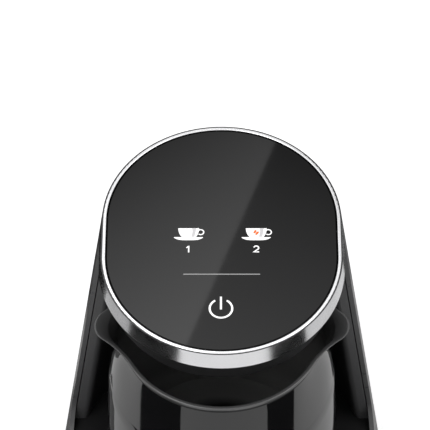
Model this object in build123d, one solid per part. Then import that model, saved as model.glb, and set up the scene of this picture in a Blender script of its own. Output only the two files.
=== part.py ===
from build123d import *
import math
import os

# Electric Turkish coffee maker: a flared oval body with a touch panel in a chrome ring on
# top, and a two-spouted pot that stands on a hot plate in the front niche.
# Millimetres, +Z up, front is -Y. Heights count from the table. While it is modelled the
# oval's centre is at X0 Y0; the finished pieces are moved so that the origin is the
# middle of the footprint.

# ---- body outline -----------------------------------------------------------------
TOP_Z = 198.0            # top of the chrome ring
TOP_HALF = 48.5          # half width of the flared surface at TOP_Z
STRAIGHT = 17.7          # straight length of the oval, front to back
DRAFT = 7.85             # flare of every side wall, degrees from vertical
BOTTOM_Z = 3.0           # underside of the base plate
SHELL_WALL = 2.0
BASE_CORNER = 14.0       # radius where the front edges sweep into the base front
LEDGE_DEPTH = 2.4        # inner ledges that stop the deck and the base plate
LEDGE_HEIGHT = 2.0
SEAM = 0.45              # shadow gap between shell and liner
GAP = 0.3                # clearance between pieces that are fitted together

# ---- head -------------------------------------------------------------------------
RING_HEIGHT = 7.8
LIP_WIDTH = 1.3          # bright flat lip around the glass
LIP_HEIGHT = 1.0
LIP_STEP = 0.5           # how far the band stands out past the lip
LIP_EDGE = 0.35
GLASS_DEPTH = 0.2        # glass below the lip
GLASS_THICK = 1.6
GLASS_GAP = 0.15
TAPE_THICK = 0.4
TAPE_WIDTH = 2.4
FRAME_FLOOR = 2.0
FRAME_WALL = 3.0
PAN_DEPTH = 13.2         # height of the head's lower pan
PAN_WALL = 2.0
PAN_DRAFT = 6.0
PAN_EDGE = 2.5
BOARD_THICK = 1.6
BOARD_STANDOFF = 1.6
BOARD_MARGIN = 7.4       # from the frame's inner wall to the touch board
TOUCH_PAD_R = 4.5
ICON_X = 13.6            # the two cup icons
ICON_Y = 1.5
POWER_ICON_INSET = 20.4  # power icon from the glass's front edge
TOUCH_SCREW_INSET = 8.4  # touch board's screws from its edge
TOUCH_SCREW_ANGLE = 41.0
PAN_SCREW_INSET = 4.8    # pan's screws from the frame's edge
PAN_SCREW_ANGLE = 44.0
SENSOR_AHEAD = 9.1       # level sensor ahead of the pot's axis
SENSOR_POST_X = 13.0
SENSOR_SIZE = (16.0, 9.0)
SENSOR_HEIGHT = 5.5
WINDOW_LIP = 0.8

# ---- niche and base -----------------------------------------------------------------
WING_Y = 4.0             # plane of the shell's and the liner's front edges
LIP_FACE = 2.4           # flat part of the liner's front lip
LIP_ROUND = 2.9          # rounding from that lip into the niche
LIP_DEPTH = 5.0
LINER_WALL = 2.4
DECK_Z = 58.0            # top of the base
DECK_THICK = 2.5
BASE_PLATE_THICK = 2.4
FOOT_R = 7.0
FOOT_PEG_R = 2.5
FOOT_INSET = 16.5        # feet from the base's edge
FOOT_ANGLE = 42.0
POST_SIDE_GAP = 4.0      # deck posts beside the hot plate's hole
POST_AHEAD = 14.0        # front posts ahead of the pot's axis
POST_BEHIND = 50.0       # rear posts behind it
POST_R = 4.0
SCREW_R = 1.5
SCREW_HEAD_R = 3.0
SCREW_HEAD = 2.0
SCREW_PLAY = 0.05        # screw to its pilot hole

# ---- pot ------------------------------------------------------------------------------
POT_Y = -20.9            # axis of pot and hot plate
RIM_DROP = 29.0          # pot rim below the ring's top
RIM_GAP = 8.4            # rim to niche wall
BELLY_GAP = 12.4         # widest part to niche wall
BELLY_RISE = 20.0        # widest part above the hot plate
POT_WALL = 2.0
POT_FLOOR = 2.0
POT_FOOT_INSET = 6.0     # the pot's foot is this much narrower than its widest part
POT_BOW = 1.7            # how far the side bows out from a straight cone
BASE_DISC = 1.2          # steel disc under the pot
SPOUT_REACH = 9.5        # spout tip past the rim circle
SPOUT_ROOT = 12.0        # spout's root inside the rim circle
SPOUT_TIP_R = 8.4
SPOUT_BLEND_R = 40.0     # hollow curve from the rim into the spout
SPOUT_DEPTH = 10.0       # height over which a spout flares out of the side
SPOUT_SINK = 0.8         # a spout's lower end inside the pot's side
SPOUT_TURN = 3.0         # spouts turned towards the front, degrees
RIM_ROUND = 0.5

# ---- handle ---------------------------------------------------------------------------
HANDLE_WIDTH = 22.0
ARM_DROP = 25.0          # top of the handle's arm below the rim
ARM_HEIGHT = 17.0
GRIP_REACH = 43.0        # grip's front face from the pot's wall
GRIP_THICK = 14.0
GRIP_BOTTOM_RISE = 6.0   # end of the grip above the hot plate
ELBOW_DROP = 35.0        # how far the arm slopes down to the grip
ELBOW_DEPTH = 9.0        # inner corner of the elbow below the outer one
HANDLE_ROUND = 5.0
HANDLE_SCREW_SEAT = 2.5  # plastic between the screw's head and the tongue
BRACKET_WIDTH = 15.0
BRACKET_DEPTH = 6.0
TONGUE_LENGTH = 11.0
TONGUE_RISE = 2.5        # tongue above the arm's underside
TONGUE_THICK = 3.0
TONGUE_WIDTH = 9.0
INLAY_WIDTH = 11.0
INLAY_THICK = 1.2
INLAY_MARGIN = 8.0       # from the grip's end and from the elbow

# ---- heating --------------------------------------------------------------------------
PLATE_RISE = 1.5         # hot plate above the deck
PLATE_THICK = 5.0
PLATE_MARGIN = 1.2       # hot plate past the pot's foot
GASKET_WIDTH = 2.2
GASKET_LIP = 1.2
LEG_R = 4.0
LEG_LENGTH = 9.0
HEATER_TUBE_R = 3.2
HEATER_CLEAR = 5.4       # heater's tube to the plate's legs
HEATER_OPENING = 50.0    # degrees left open between the heater's ends
BRACKET_THICK = 1.2
BRACKET_TAB = 10.0
SENSOR_CAP_R = 7.0
SENSOR_CAP = 3.6
SENSOR_GAP = 0.3         # sensor below the pot's foot, and its play against its clip
SENSOR_STEM_R = 3.0
HOLDER_R = 5.8
HOLDER_HEIGHT = 8.0
SPRING_R = 4.4
SPRING_WIRE = 0.35
SPRING_TURNS = 4

# ---- electronics ----------------------------------------------------------------------
POWER_BOARD = (52.0, 70.0)    # width and height
POWER_BOARD_RISE = 18.0       # above the deck
POWER_BOARD_GAP = 3.0         # to the liner's rear wall
POWER_SCREW_INSET = 5.0
CASE_GAP = 0.4                # parts on the power board to the casing
LINER_SCREW_X = 36.0
GLAND_Z = 20.0
GLAND_BORE_R = 3.4
GLAND_NECK_R = 5.5
GLAND_FLANGE_R = 8.0
GLAND_FLANGE = 2.2
VENT_WIDTH = 2.4
VENT_LENGTH = 30.0
VENT_PITCH = 6.0
VENT_COUNT = 5
RIBBON_WIDTH = 12.0
RIBBON_THICK = 1.0
RIBBON_BEND = 5.0
RIBBON_CLEAR = 2.2       # from the ribbon's middle to the sides of its slot
LEAD_R = 1.2

# ---- worked out from the sizes above ---------------------------------------------------
FLARE = math.tan(math.radians(DRAFT))


def body_half(z):
    """Half width of the flared outline at height z."""
    return TOP_HALF + FLARE * (TOP_Z - z)


def niche_half(z):
    """Half width of the niche's mouth, in the plane of the front edges."""
    return body_half(z) - SHELL_WALL - SEAM - LIP_FACE - LIP_ROUND


def niche_radius(z):
    """Radius of the niche wall about the pot's axis."""
    return math.hypot(niche_half(z), WING_Y - POT_Y)


RING_Z = TOP_Z - RING_HEIGHT
LIP_HALF = TOP_HALF - LIP_STEP
GLASS_HALF = LIP_HALF - LIP_WIDTH
GLASS_TOP = TOP_Z - GLASS_DEPTH
GLASS_Z = GLASS_TOP - GLASS_THICK
FRAME_TOP = GLASS_Z - TAPE_THICK
FRAME_FLOOR_Z = FRAME_TOP - FRAME_FLOOR
FRAME_HALF = GLASS_HALF - GLASS_GAP
BOARD_TOP = FRAME_FLOOR_Z - BOARD_STANDOFF
BOARD_Z = BOARD_TOP - BOARD_THICK
BOARD_HALF = FRAME_HALF - FRAME_WALL - BOARD_MARGIN
POWER_ICON_Y = POWER_ICON_INSET - STRAIGHT / 2 - GLASS_HALF
SENSOR_Y = POT_Y - SENSOR_AHEAD
PAN_Z = RING_Z - PAN_DEPTH
PAN_HALF = body_half(RING_Z) - SHELL_WALL - SEAM
SHELL_TOP = RING_Z - GAP

PLATE_TOP = DECK_Z + PLATE_RISE
PLATE_Z = PLATE_TOP - PLATE_THICK
RIM_Z = TOP_Z - RIM_DROP
RIM_R = niche_radius(RIM_Z) - RIM_GAP
BELLY_Z = PLATE_TOP + BELLY_RISE
BELLY_R = niche_radius(BELLY_Z) - BELLY_GAP
POT_FOOT_R = BELLY_R - POT_FOOT_INSET
POT_BASE_Z = PLATE_TOP + BASE_DISC
PLATE_R = POT_FOOT_R + PLATE_MARGIN
DECK_HOLE_R = PLATE_R + GASKET_WIDTH
BRACKET_TOP = PLATE_Z - LEG_LENGTH
BRACKET_Z = BRACKET_TOP - BRACKET_THICK
BRACKET_R = DECK_HOLE_R - 1.5
LEG_RING = PLATE_R - LEG_R - 1.5
HEATER_R = LEG_RING - LEG_R - HEATER_TUBE_R - HEATER_CLEAR
BOSS_RING = DECK_HOLE_R + POST_R
BOSS_ANGLES = (90, 210, 330)
BASE_TOP = BOTTOM_Z + BASE_PLATE_THICK
DECK_Z0 = DECK_Z - DECK_THICK
HEATER_Z = PLATE_Z - HEATER_TUBE_R - 0.1

ARM_TOP = RIM_Z - ARM_DROP
ARM_Z = ARM_TOP - ARM_HEIGHT
ELBOW_Z = ARM_TOP - ELBOW_DROP
TONGUE_Z = ARM_Z + TONGUE_RISE
TONGUE_TOP = TONGUE_Z + TONGUE_THICK
GRIP_BOTTOM = PLATE_TOP + GRIP_BOTTOM_RISE
REAR_REACH = STRAIGHT / 2 + body_half(BOTTOM_Z)


def pot_radius(z, wall=0.0):
    """Outer radius of the pot's side between its belly and its rim."""
    share = (z - BELLY_Z) / (RIM_Z - BELLY_Z)
    return BELLY_R + (RIM_R - BELLY_R) * share + 4 * POT_BOW * share * (1 - share) - wall


BRACKET_FRONT = POT_Y - pot_radius(ARM_Z) - BRACKET_DEPTH
GRIP_FRONT = POT_Y - pot_radius(ARM_Z) - GRIP_REACH
GRIP_BACK = GRIP_FRONT + GRIP_THICK
HANDLE_SCREW_Y = BRACKET_FRONT - TONGUE_LENGTH / 2
CENTRE_SHIFT = -(GRIP_FRONT + REAR_REACH) / 2


def oval_spots(half, angle):
    """Four places on the oval of this half width, at an angle from the sides."""
    x = half * math.cos(math.radians(angle))
    y = STRAIGHT / 2 + half * math.sin(math.radians(angle))
    return [(side * x, end * y) for side in (-1, 1) for end in (-1, 1)]


def pot_ring_spots(radius):
    """Three places round the pot's axis."""
    return [
        (radius * math.cos(math.radians(a)), POT_Y + radius * math.sin(math.radians(a)))
        for a in BOSS_ANGLES
    ]


POST_SPOTS = [
    (side * (DECK_HOLE_R + POST_R + POST_SIDE_GAP), POT_Y + behind)
    for side in (-1, 1)
    for behind in (-POST_AHEAD, POST_BEHIND)
]
BOSS_SPOTS = pot_ring_spots(BOSS_RING)
LEG_SPOTS = pot_ring_spots(LEG_RING)
FOOT_SPOTS = oval_spots(body_half(BOTTOM_Z) - FOOT_INSET, FOOT_ANGLE)
PAN_SCREW_SPOTS = oval_spots(FRAME_HALF - PAN_SCREW_INSET, PAN_SCREW_ANGLE)
TOUCH_SCREW_SPOTS = oval_spots(BOARD_HALF - TOUCH_SCREW_INSET, TOUCH_SCREW_ANGLE)
TOUCH_SPOTS = [(-ICON_X, ICON_Y), (ICON_X, ICON_Y), (0.0, POWER_ICON_Y)]
SENSOR_POST_SPOTS = [(side * SENSOR_POST_X, SENSOR_Y) for side in (-1, 1)]
POWER_BOARD_Z = DECK_Z + POWER_BOARD_RISE
POWER_BOARD_Y = POT_Y + niche_radius(POWER_BOARD_Z) + LINER_WALL + POWER_BOARD_GAP
POWER_BOARD_REAR = POWER_BOARD_Y + BOARD_THICK
POWER_SCREW_SPOTS = [
    (side * (POWER_BOARD[0] / 2 - POWER_SCREW_INSET), POWER_BOARD_Z + rise)
    for side in (-1, 1)
    for rise in (POWER_SCREW_INSET, POWER_BOARD[1] - POWER_SCREW_INSET)
]
LINER_SCREW_SPOTS = [(side * LINER_SCREW_X, POWER_BOARD_Y + 2.0) for side in (-1, 1)]
RIBBON_Y = POWER_BOARD_REAR + 2.0


# ---- building blocks --------------------------------------------------------------------
def cyl(radius, z0, z1, x=0.0, y=0.0):
    return Pos(x, y, (z0 + z1) / 2) * Cylinder(radius, z1 - z0)


def block(x0, x1, y0, y1, z0, z1):
    centre = Pos((x0 + x1) / 2, (y0 + y1) / 2, (z0 + z1) / 2)
    return centre * Box(x1 - x0, y1 - y0, z1 - z0)


def rod_y(radius, y0, y1, x, z):
    return Pos(x, (y0 + y1) / 2, z) * Rot(90, 0, 0) * Cylinder(radius, y1 - y0)


def oval(half, z):
    """The body's oval outline as a flat face."""
    return Pos(0, 0, z) * SlotCenterToCenter(STRAIGHT, 2 * half, rotation=90)


def oval_block(half, z0, z1):
    return extrude(oval(half, z0), z1 - z0)


def flared_block(inset, z0, z1):
    """A block with the body's flared outline, moved in by inset."""
    return extrude(oval(body_half(z0) - inset, z0), z1 - z0, taper=DRAFT)


def niche_block(grow, z0, z1):
    """The round space of the niche, made larger by grow."""
    low, high = niche_radius(z0) + grow, niche_radius(z1) + grow
    return Pos(0, POT_Y, (z0 + z1) / 2) * Cone(low, high, z1 - z0)


def screws(spots, z_head, z_tip):
    """Pan-head screws driven upwards; the head sits at z_head and the tip is at z_tip."""
    head_end = z_head - SCREW_HEAD
    parts = []
    for x, y in spots:
        shank = cyl(SCREW_R, z_head, z_tip, x, y)
        head = cyl(SCREW_HEAD_R, head_end, z_head, x, y)
        cross = block(-2, 2, -0.4, 0.4, -0.6, 0.6) + block(-0.4, 0.4, -2, 2, -0.6, 0.6)
        parts.append(shank + head - Pos(x, y, head_end) * cross)
    return parts


def screw_holes(spots, z0, z1):
    return [cyl(SCREW_R + SCREW_PLAY, z0, z1, x, y) for x, y in spots]


# ---- casing ---------------------------------------------------------------------------
def shell_opening():
    """Everything in front of the front edges and above the base, with a swept corner."""
    far = 400.0
    with BuildPart() as opening:
        with BuildSketch(Plane.YZ):
            with BuildLine():
                Polyline(
                    (WING_Y, TOP_Z + 20),
                    (WING_Y, DECK_Z + BASE_CORNER),
                )
                RadiusArc(
                    (WING_Y, DECK_Z + BASE_CORNER),
                    (WING_Y - BASE_CORNER, DECK_Z),
                    BASE_CORNER,
                )
                Polyline(
                    (WING_Y - BASE_CORNER, DECK_Z),
                    (-far, DECK_Z),
                    (-far, TOP_Z + 20),
                    (WING_Y, TOP_Z + 20),
                )
            make_face()
        extrude(amount=far, both=True)
    return opening.part


def outer_shell():
    shell = flared_block(0, BOTTOM_Z, SHELL_TOP)
    shell -= flared_block(SHELL_WALL, BOTTOM_Z - 1, SHELL_TOP + 1)
    for top in (DECK_Z0, BASE_TOP + LEDGE_HEIGHT):
        ledge = flared_block(SHELL_WALL - 0.1, top - LEDGE_HEIGHT, top)
        inner = SHELL_WALL + LEDGE_DEPTH
        ledge -= flared_block(inner, top - LEDGE_HEIGHT - 1, top + 1)
        shell += ledge
    shell -= shell_opening()
    rear = STRAIGHT / 2 + body_half(GLAND_Z)
    shell -= rod_y(GLAND_NECK_R + 0.1, rear - 12, rear + 5, 0, GLAND_Z)
    for i in range(VENT_COUNT):
        z = GLAND_Z + 70 + i * VENT_PITCH
        shell -= block(-VENT_LENGTH / 2, VENT_LENGTH / 2, 40, 110, z, z + VENT_WIDTH)
    return shell


def niche_liner():
    """U-shaped wall round the rear half of the pot, with rounded front lips."""
    z0, z1 = DECK_Z, PAN_Z
    inset = SHELL_WALL + SEAM
    space = flared_block(inset, z0, z1) & block(-200, 200, WING_Y, 200, z0, z1)
    solid = niche_block(LINER_WALL, z0, z1)
    solid += block(-200, 200, WING_Y, WING_Y + LIP_DEPTH, z0, z1)
    liner = (space & solid) - niche_block(0, z0, z1)
    edges = [
        edge
        for edge in liner.edges()
        if abs(edge.center().Y - WING_Y) < 0.01
        and edge.length > 0.8 * (z1 - z0)
        and abs(edge.center().X) < niche_half((z0 + z1) / 2) + 1
    ]
    far_edges = sorted(edges, key=lambda edge: abs(edge.center().X))[:2]
    liner = fillet(far_edges, LIP_ROUND)
    for x, z in POWER_SCREW_SPOTS:
        post = rod_y(POST_R - 0.5, POT_Y + 20, POWER_BOARD_Y, x, z)
        liner += post - niche_block(LINER_WALL / 2, z0 - 1, z1 + 1)
        liner -= rod_y(SCREW_R + SCREW_PLAY, POWER_BOARD_Y - 5, POWER_BOARD_Y + 1, x, z)
    for x, y in LINER_SCREW_SPOTS:
        foot = cyl(POST_R, z0, z0 + 12, x, y) + block(x - 2, x + 2, y - 20, y, z0, z0 + 12)
        liner += (foot & flared_block(inset, z0, z1)) - niche_block(LINER_WALL / 2, z0 - 1, z1)
        liner -= cyl(SCREW_R + SCREW_PLAY, z0 - 1, z0 + 9, x, y)
    return liner


def base_deck():
    """Top of the base, with the hot plate's hole, posts and bosses underneath."""
    deck = flared_block(SHELL_WALL + GAP, DECK_Z0, DECK_Z)
    deck -= cyl(DECK_HOLE_R, DECK_Z0 - 1, DECK_Z + 1, 0, POT_Y)
    room = flared_block(SHELL_WALL + LEDGE_DEPTH + GAP, BASE_TOP, DECK_Z0)
    for x, y in POST_SPOTS:
        deck += cyl(POST_R, BASE_TOP, DECK_Z0, x, y) & room
    for x, y in BOSS_SPOTS:
        deck += cyl(POST_R, BRACKET_TOP, DECK_Z0, x, y)
    deck -= cyl(DECK_HOLE_R, BRACKET_TOP - 1, DECK_Z + 1, 0, POT_Y)
    for hole in screw_holes(POST_SPOTS, BASE_TOP - 1, BASE_TOP + 9):
        deck -= hole
    for hole in screw_holes(BOSS_SPOTS, BRACKET_TOP - 1, BRACKET_TOP + 7):
        deck -= hole
    for hole in screw_holes(LINER_SCREW_SPOTS, DECK_Z0 - 1, DECK_Z + 1):
        deck -= hole
    passage_y = POWER_BOARD_REAR + 1.5
    deck -= block(-22, 22, passage_y, passage_y + 9, DECK_Z0 - 1, DECK_Z + 1)
    return deck


def base_plate():
    plate = flared_block(SHELL_WALL + GAP, BOTTOM_Z, BASE_TOP)
    for hole in screw_holes(POST_SPOTS, BOTTOM_Z - 1, BASE_TOP + 1):
        plate -= hole
    for x, y in POST_SPOTS:
        plate -= cyl(SCREW_HEAD_R + 0.2, BOTTOM_Z - 1, BOTTOM_Z + SCREW_HEAD - 0.8, x, y)
    for x, y in FOOT_SPOTS:
        plate -= cyl(FOOT_PEG_R + 0.05, BOTTOM_Z - 1, BASE_TOP + 1, x, y)
    for i in range(-3, 4):
        y = i * VENT_PITCH
        plate -= block(-VENT_LENGTH / 2, VENT_LENGTH / 2, y - 1.2, y + 1.2, 0, BASE_TOP + 1)
    return plate


def rubber_feet():
    feet = []
    for x, y in FOOT_SPOTS:
        foot = cyl(FOOT_R, 0, BOTTOM_Z, x, y)
        foot = fillet(foot.edges().sort_by(Axis.Z)[0], 0.8)
        feet.append(foot + cyl(FOOT_PEG_R, BOTTOM_Z, BASE_TOP, x, y))
    return feet


def cord_gland():
    """Bush in the rear wall that a mains cord passes through."""
    rear = STRAIGHT / 2 + body_half(GLAND_Z - GLAND_FLANGE_R)
    gland = rod_y(GLAND_FLANGE_R, rear - 4, rear + GLAND_FLANGE - 1, 0, GLAND_Z)
    gland -= flared_block(0, 0, TOP_Z)
    gland += rod_y(GLAND_NECK_R, rear - 12, rear - 0.5, 0, GLAND_Z)
    inner = rear - SHELL_WALL - 1.2
    gland += rod_y(GLAND_NECK_R + 1.5, inner - 4, inner - 1.6, 0, GLAND_Z)
    return gland - rod_y(GLAND_BORE_R, rear - 20, rear + 10, 0, GLAND_Z)


# ---- head -----------------------------------------------------------------------------
def chrome_ring():
    band_top = TOP_Z - LIP_HEIGHT
    band = flared_block(0, RING_Z, band_top)
    band = fillet(band.edges().group_by(Axis.Z)[-1], LIP_EDGE)
    lip = oval_block(LIP_HALF, band_top - 1, TOP_Z)
    ring = band + lip - oval_block(GLASS_HALF, RING_Z - 1, TOP_Z + 1)
    return fillet(ring.edges().group_by(Axis.Z)[-1], LIP_EDGE)


def glass_panel():
    glass = oval_block(GLASS_HALF - GLASS_GAP, GLASS_Z, GLASS_TOP)
    return chamfer(glass.edges().group_by(Axis.Z)[-1], 0.3)


def glass_tape():
    tape = oval_block(FRAME_HALF, FRAME_TOP, GLASS_Z)
    return tape - oval_block(FRAME_HALF - TAPE_WIDTH, FRAME_TOP - 1, GLASS_Z + 1)


def panel_frame():
    """Carrier under the glass: holds the touch board and takes the pan's screws."""
    frame = oval_block(FRAME_HALF, RING_Z, FRAME_TOP)
    frame -= oval_block(FRAME_HALF - FRAME_WALL, RING_Z - 1, FRAME_FLOOR_Z)
    inner = oval_block(FRAME_HALF, RING_Z, FRAME_FLOOR_Z)
    for x, y in PAN_SCREW_SPOTS:
        frame += cyl(POST_R, RING_Z, FRAME_FLOOR_Z, x, y) & inner
        frame -= cyl(SCREW_R + SCREW_PLAY, RING_Z - 1, FRAME_FLOOR_Z - 0.4, x, y)
    for x, y in TOUCH_SCREW_SPOTS:
        frame += cyl(2.6, BOARD_TOP, FRAME_FLOOR_Z, x, y)
        frame -= cyl(1.05, BOARD_TOP - 1, FRAME_TOP - 0.6, x, y)
    for x, y in TOUCH_SPOTS:
        frame -= cyl(TOUCH_PAD_R + GAP, FRAME_FLOOR_Z - 1, FRAME_TOP + 1, x, y)
        frame -= block(x - 7, x + 7, y + 6, y + 12, FRAME_FLOOR_Z - 1, FRAME_TOP + 1)
    return frame


def touch_board():
    board = oval_block(BOARD_HALF, BOARD_Z, BOARD_TOP)
    for x, y in TOUCH_SCREW_SPOTS:
        board -= cyl(1.15, BOARD_Z - 1, BOARD_TOP + 1, x, y)
    return board


def touch_pads():
    return [cyl(TOUCH_PAD_R, BOARD_TOP, GLASS_Z, x, y) for x, y in TOUCH_SPOTS]


def indicator_leds():
    leds = []
    led = block(-1.7, 1.7, 7.5, 10.5, BOARD_TOP, BOARD_TOP + 1.1)
    for x, y in TOUCH_SPOTS:
        for side in (-3.2, 3.2):
            leds.append(Pos(x + side, y, 0) * led)
    return leds


def touch_board_screws():
    parts = []
    for x, y in TOUCH_SCREW_SPOTS:
        shank = cyl(1.0, BOARD_Z, BOARD_TOP + 2.4, x, y)
        parts.append(shank + cyl(2.1, BOARD_Z - 1.3, BOARD_Z, x, y))
    return parts


def buzzer():
    body = cyl(6.0, BOARD_Z - 5.2, BOARD_Z, 12.0, 12.0)
    return body - cyl(1.0, BOARD_Z - 6, BOARD_Z - 3.5, 12.0, 12.0)


def touch_board_chips():
    """Touch controller and the ribbon's socket on the touch board's underside."""
    chip = block(-6, 6, -14, -2, BOARD_Z - 1.4, BOARD_Z)
    socket = block(-RIBBON_WIDTH / 2 - 1, RIBBON_WIDTH / 2 + 1, 22, 27, BOARD_Z - 3.0, BOARD_Z)
    return [chip, socket]


def head_pan():
    """Closed lower pan of the head, above the pot's mouth."""
    outer = extrude(oval(PAN_HALF, RING_Z), -PAN_DEPTH, taper=PAN_DRAFT)
    outer = fillet(outer.edges().group_by(Axis.Z)[0], PAN_EDGE)
    hollow_depth = PAN_DEPTH - PAN_WALL
    pan = outer - extrude(oval(PAN_HALF - PAN_WALL, RING_Z), -hollow_depth, taper=PAN_DRAFT)
    floor = PAN_Z + PAN_WALL
    for x, y in PAN_SCREW_SPOTS:
        pan += cyl(POST_R, floor - 0.5, RING_Z, x, y) & outer
        pan -= cyl(SCREW_R + SCREW_PLAY, PAN_Z - 1, RING_Z + 1, x, y)
        pan -= cyl(SCREW_HEAD_R + 0.3, PAN_Z - 1, PAN_Z + SCREW_HEAD + 1.0, x, y)
    for x, y in SENSOR_POST_SPOTS:
        pan += cyl(2.4, floor - 0.5, floor + SENSOR_HEIGHT + GAP, x, y)
    wide, deep = SENSOR_SIZE
    hole = block(-wide / 2, wide / 2, -deep / 2, deep / 2, PAN_Z - 1, floor + 1)
    pan -= Pos(0, SENSOR_Y, 0) * hole
    ribbon = RIBBON_WIDTH / 2 + 2
    slot_front, slot_rear = RIBBON_Y - RIBBON_CLEAR, RIBBON_Y + RIBBON_CLEAR
    pan -= block(-ribbon, ribbon, slot_front, slot_rear, PAN_Z - 1, floor + 1)
    return pan - block(-ribbon, ribbon, RIBBON_Y - RIBBON_BEND - 1, slot_rear, floor, RING_Z + 1)


def sensor_window():
    wide, deep = SENSOR_SIZE[0] - 2 * GLASS_GAP, SENSOR_SIZE[1] - 2 * GLASS_GAP
    window = block(-wide / 2, wide / 2, -deep / 2, deep / 2, PAN_Z, PAN_Z + PAN_WALL)
    wide, deep = wide + 2 * WINDOW_LIP, deep + 2 * WINDOW_LIP
    floor = PAN_Z + PAN_WALL
    window += block(-wide / 2, wide / 2, -deep / 2, deep / 2, floor, floor + WINDOW_LIP)
    return Pos(0, SENSOR_Y, 0) * window


def level_sensor():
    """Infrared pair that watches the foam rise in the pot."""
    floor = PAN_Z + PAN_WALL + WINDOW_LIP + 0.1
    top = PAN_Z + PAN_WALL + SENSOR_HEIGHT + GAP
    body = block(-7, 7, SENSOR_Y - 3.5, SENSOR_Y + 3.5, floor + 1.2, top)
    for x in (-3.5, 3.5):
        body += Pos(x, SENSOR_Y, floor + 2.0) * Sphere(2.0)
    return body


def sensor_board():
    z0 = PAN_Z + PAN_WALL + SENSOR_HEIGHT + GAP
    return block(-17, 17, SENSOR_Y - 5, SENSOR_Y + 5, z0, z0 + 1.2)


def panel_ribbon():
    """Flat cable from the touch board down to the power board."""
    top = BOARD_Z - 4.4
    bottom = POWER_BOARD_Z + POWER_BOARD[1] - 11.0
    half = RIBBON_WIDTH / 2
    with BuildPart() as ribbon:
        with BuildSketch(Plane.YZ):
            with BuildLine():
                FilletPolyline((20.0, top), (RIBBON_Y, top), (RIBBON_Y, bottom), radius=RIBBON_BEND)
            trace(line_width=RIBBON_THICK)
        extrude(amount=half, both=True)
    return ribbon.part + block(-half, half, 22.4, 26.6, top, BOARD_Z - 3.0)


# ---- pot ------------------------------------------------------------------------------
def pot_profile(wall, z_low, z_high):
    """Half section of the pot's outside, or of its inside when wall is not zero."""
    foot = POT_FOOT_R - wall
    belly = BELLY_R - wall
    middle = (BELLY_Z + RIM_Z) / 2
    top_r = pot_radius(RIM_Z, wall)
    with BuildSketch(Plane.XZ) as section:
        with BuildLine():
            Line((0, z_low), (foot - 3, z_low))
            side = Spline(
                (foot - 3, z_low),
                (foot, z_low + 3),
                (belly - 1.0, BELLY_Z - 9),
                (belly, BELLY_Z),
                tangents=[(1, 0), (0, 1)],
            )
            wall_line = Spline(
                side @ 1,
                (pot_radius(middle, wall), middle),
                (top_r, RIM_Z),
                tangents=[(0, 1), (-0.09, 1)],
            )
            Polyline(wall_line @ 1, (0, RIM_Z), (0, z_low))
        make_face()
        if z_high > RIM_Z:
            with Locations((0, RIM_Z)):
                Rectangle(top_r, z_high - RIM_Z, align=(Align.MIN, Align.MIN))
    return section.sketch


def across(point):
    """The same point on the other side of the X axis."""
    return Vector(point.X, -point.Y)


def spout_outline(wall, shift):
    """Plan of one spout: a round tip joined to the rim circle by hollow curves."""
    tip_r = SPOUT_TIP_R - wall
    blend_r = SPOUT_BLEND_R + wall
    rim_r = RIM_R - wall
    tip_x = RIM_R + SPOUT_REACH - SPOUT_TIP_R
    rim_side = rim_r + blend_r
    tip_side = tip_r + blend_r
    cos_a = (rim_side**2 + tip_x**2 - tip_side**2) / (2 * rim_side * tip_x)
    angle = math.acos(cos_a)
    blend = Vector(rim_side * math.cos(angle), rim_side * math.sin(angle))
    on_rim = Vector(rim_r * math.cos(angle), rim_r * math.sin(angle))
    tip = Vector(tip_x, 0)
    on_tip = tip + (blend - tip).normalized() * tip_r
    half_way = (on_rim + on_tip) * 0.5
    on_blend = blend + (half_way - blend).normalized() * blend_r
    inner = rim_r - SPOUT_ROOT
    with BuildSketch() as plan:
        with BuildLine():
            ThreePointArc(on_rim, on_blend, on_tip)
            ThreePointArc(on_tip, tip + Vector(tip_r, 0), across(on_tip))
            ThreePointArc(across(on_tip), across(on_blend), across(on_rim))
            Polyline(across(on_rim), (inner, -on_rim.Y * 0.9), (inner, on_rim.Y * 0.9), on_rim)
        make_face()
    return Pos(shift, 0, 0) * plan.sketch


def spout_block(wall):
    """The spout's space, from the rim down to where it runs out into the side."""
    low = RIM_Z - SPOUT_DEPTH
    run = SPOUT_REACH - (pot_radius(low) - RIM_R) + SPOUT_SINK
    top = Pos(0, 0, RIM_Z) * spout_outline(wall, 0)
    bottom = Pos(0, 0, low) * spout_outline(wall, -run)
    body = loft([bottom, top], ruled=True)
    if wall:
        body += extrude(top, 5)
    return body


def pot_solid(wall, z_low, z_high):
    body = revolve(pot_profile(wall, z_low, z_high), Axis.Z)
    for turn in (-SPOUT_TURN, 180 + SPOUT_TURN):
        body += Rot(0, 0, turn) * spout_block(wall)
    return body


def pot_outside():
    return Pos(0, POT_Y, 0) * pot_solid(0, POT_BASE_Z, RIM_Z)


def pot_body():
    inside = pot_solid(POT_WALL, POT_BASE_Z + POT_FLOOR, RIM_Z + 5)
    pot = pot_outside() - Pos(0, POT_Y, 0) * inside
    pot = fillet(pot.edges().group_by(Axis.Z)[-1], RIM_ROUND)
    recess_r = POT_FOOT_R - 4.0
    return pot - cyl(recess_r, POT_BASE_Z - 1, POT_BASE_Z + 0.4, 0, POT_Y)


def pot_base_disc():
    disc = cyl(POT_FOOT_R - 4.1, PLATE_TOP, POT_BASE_Z + 0.4, 0, POT_Y)
    return chamfer(disc.edges().group_by(Axis.Z)[0], 0.3)


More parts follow.
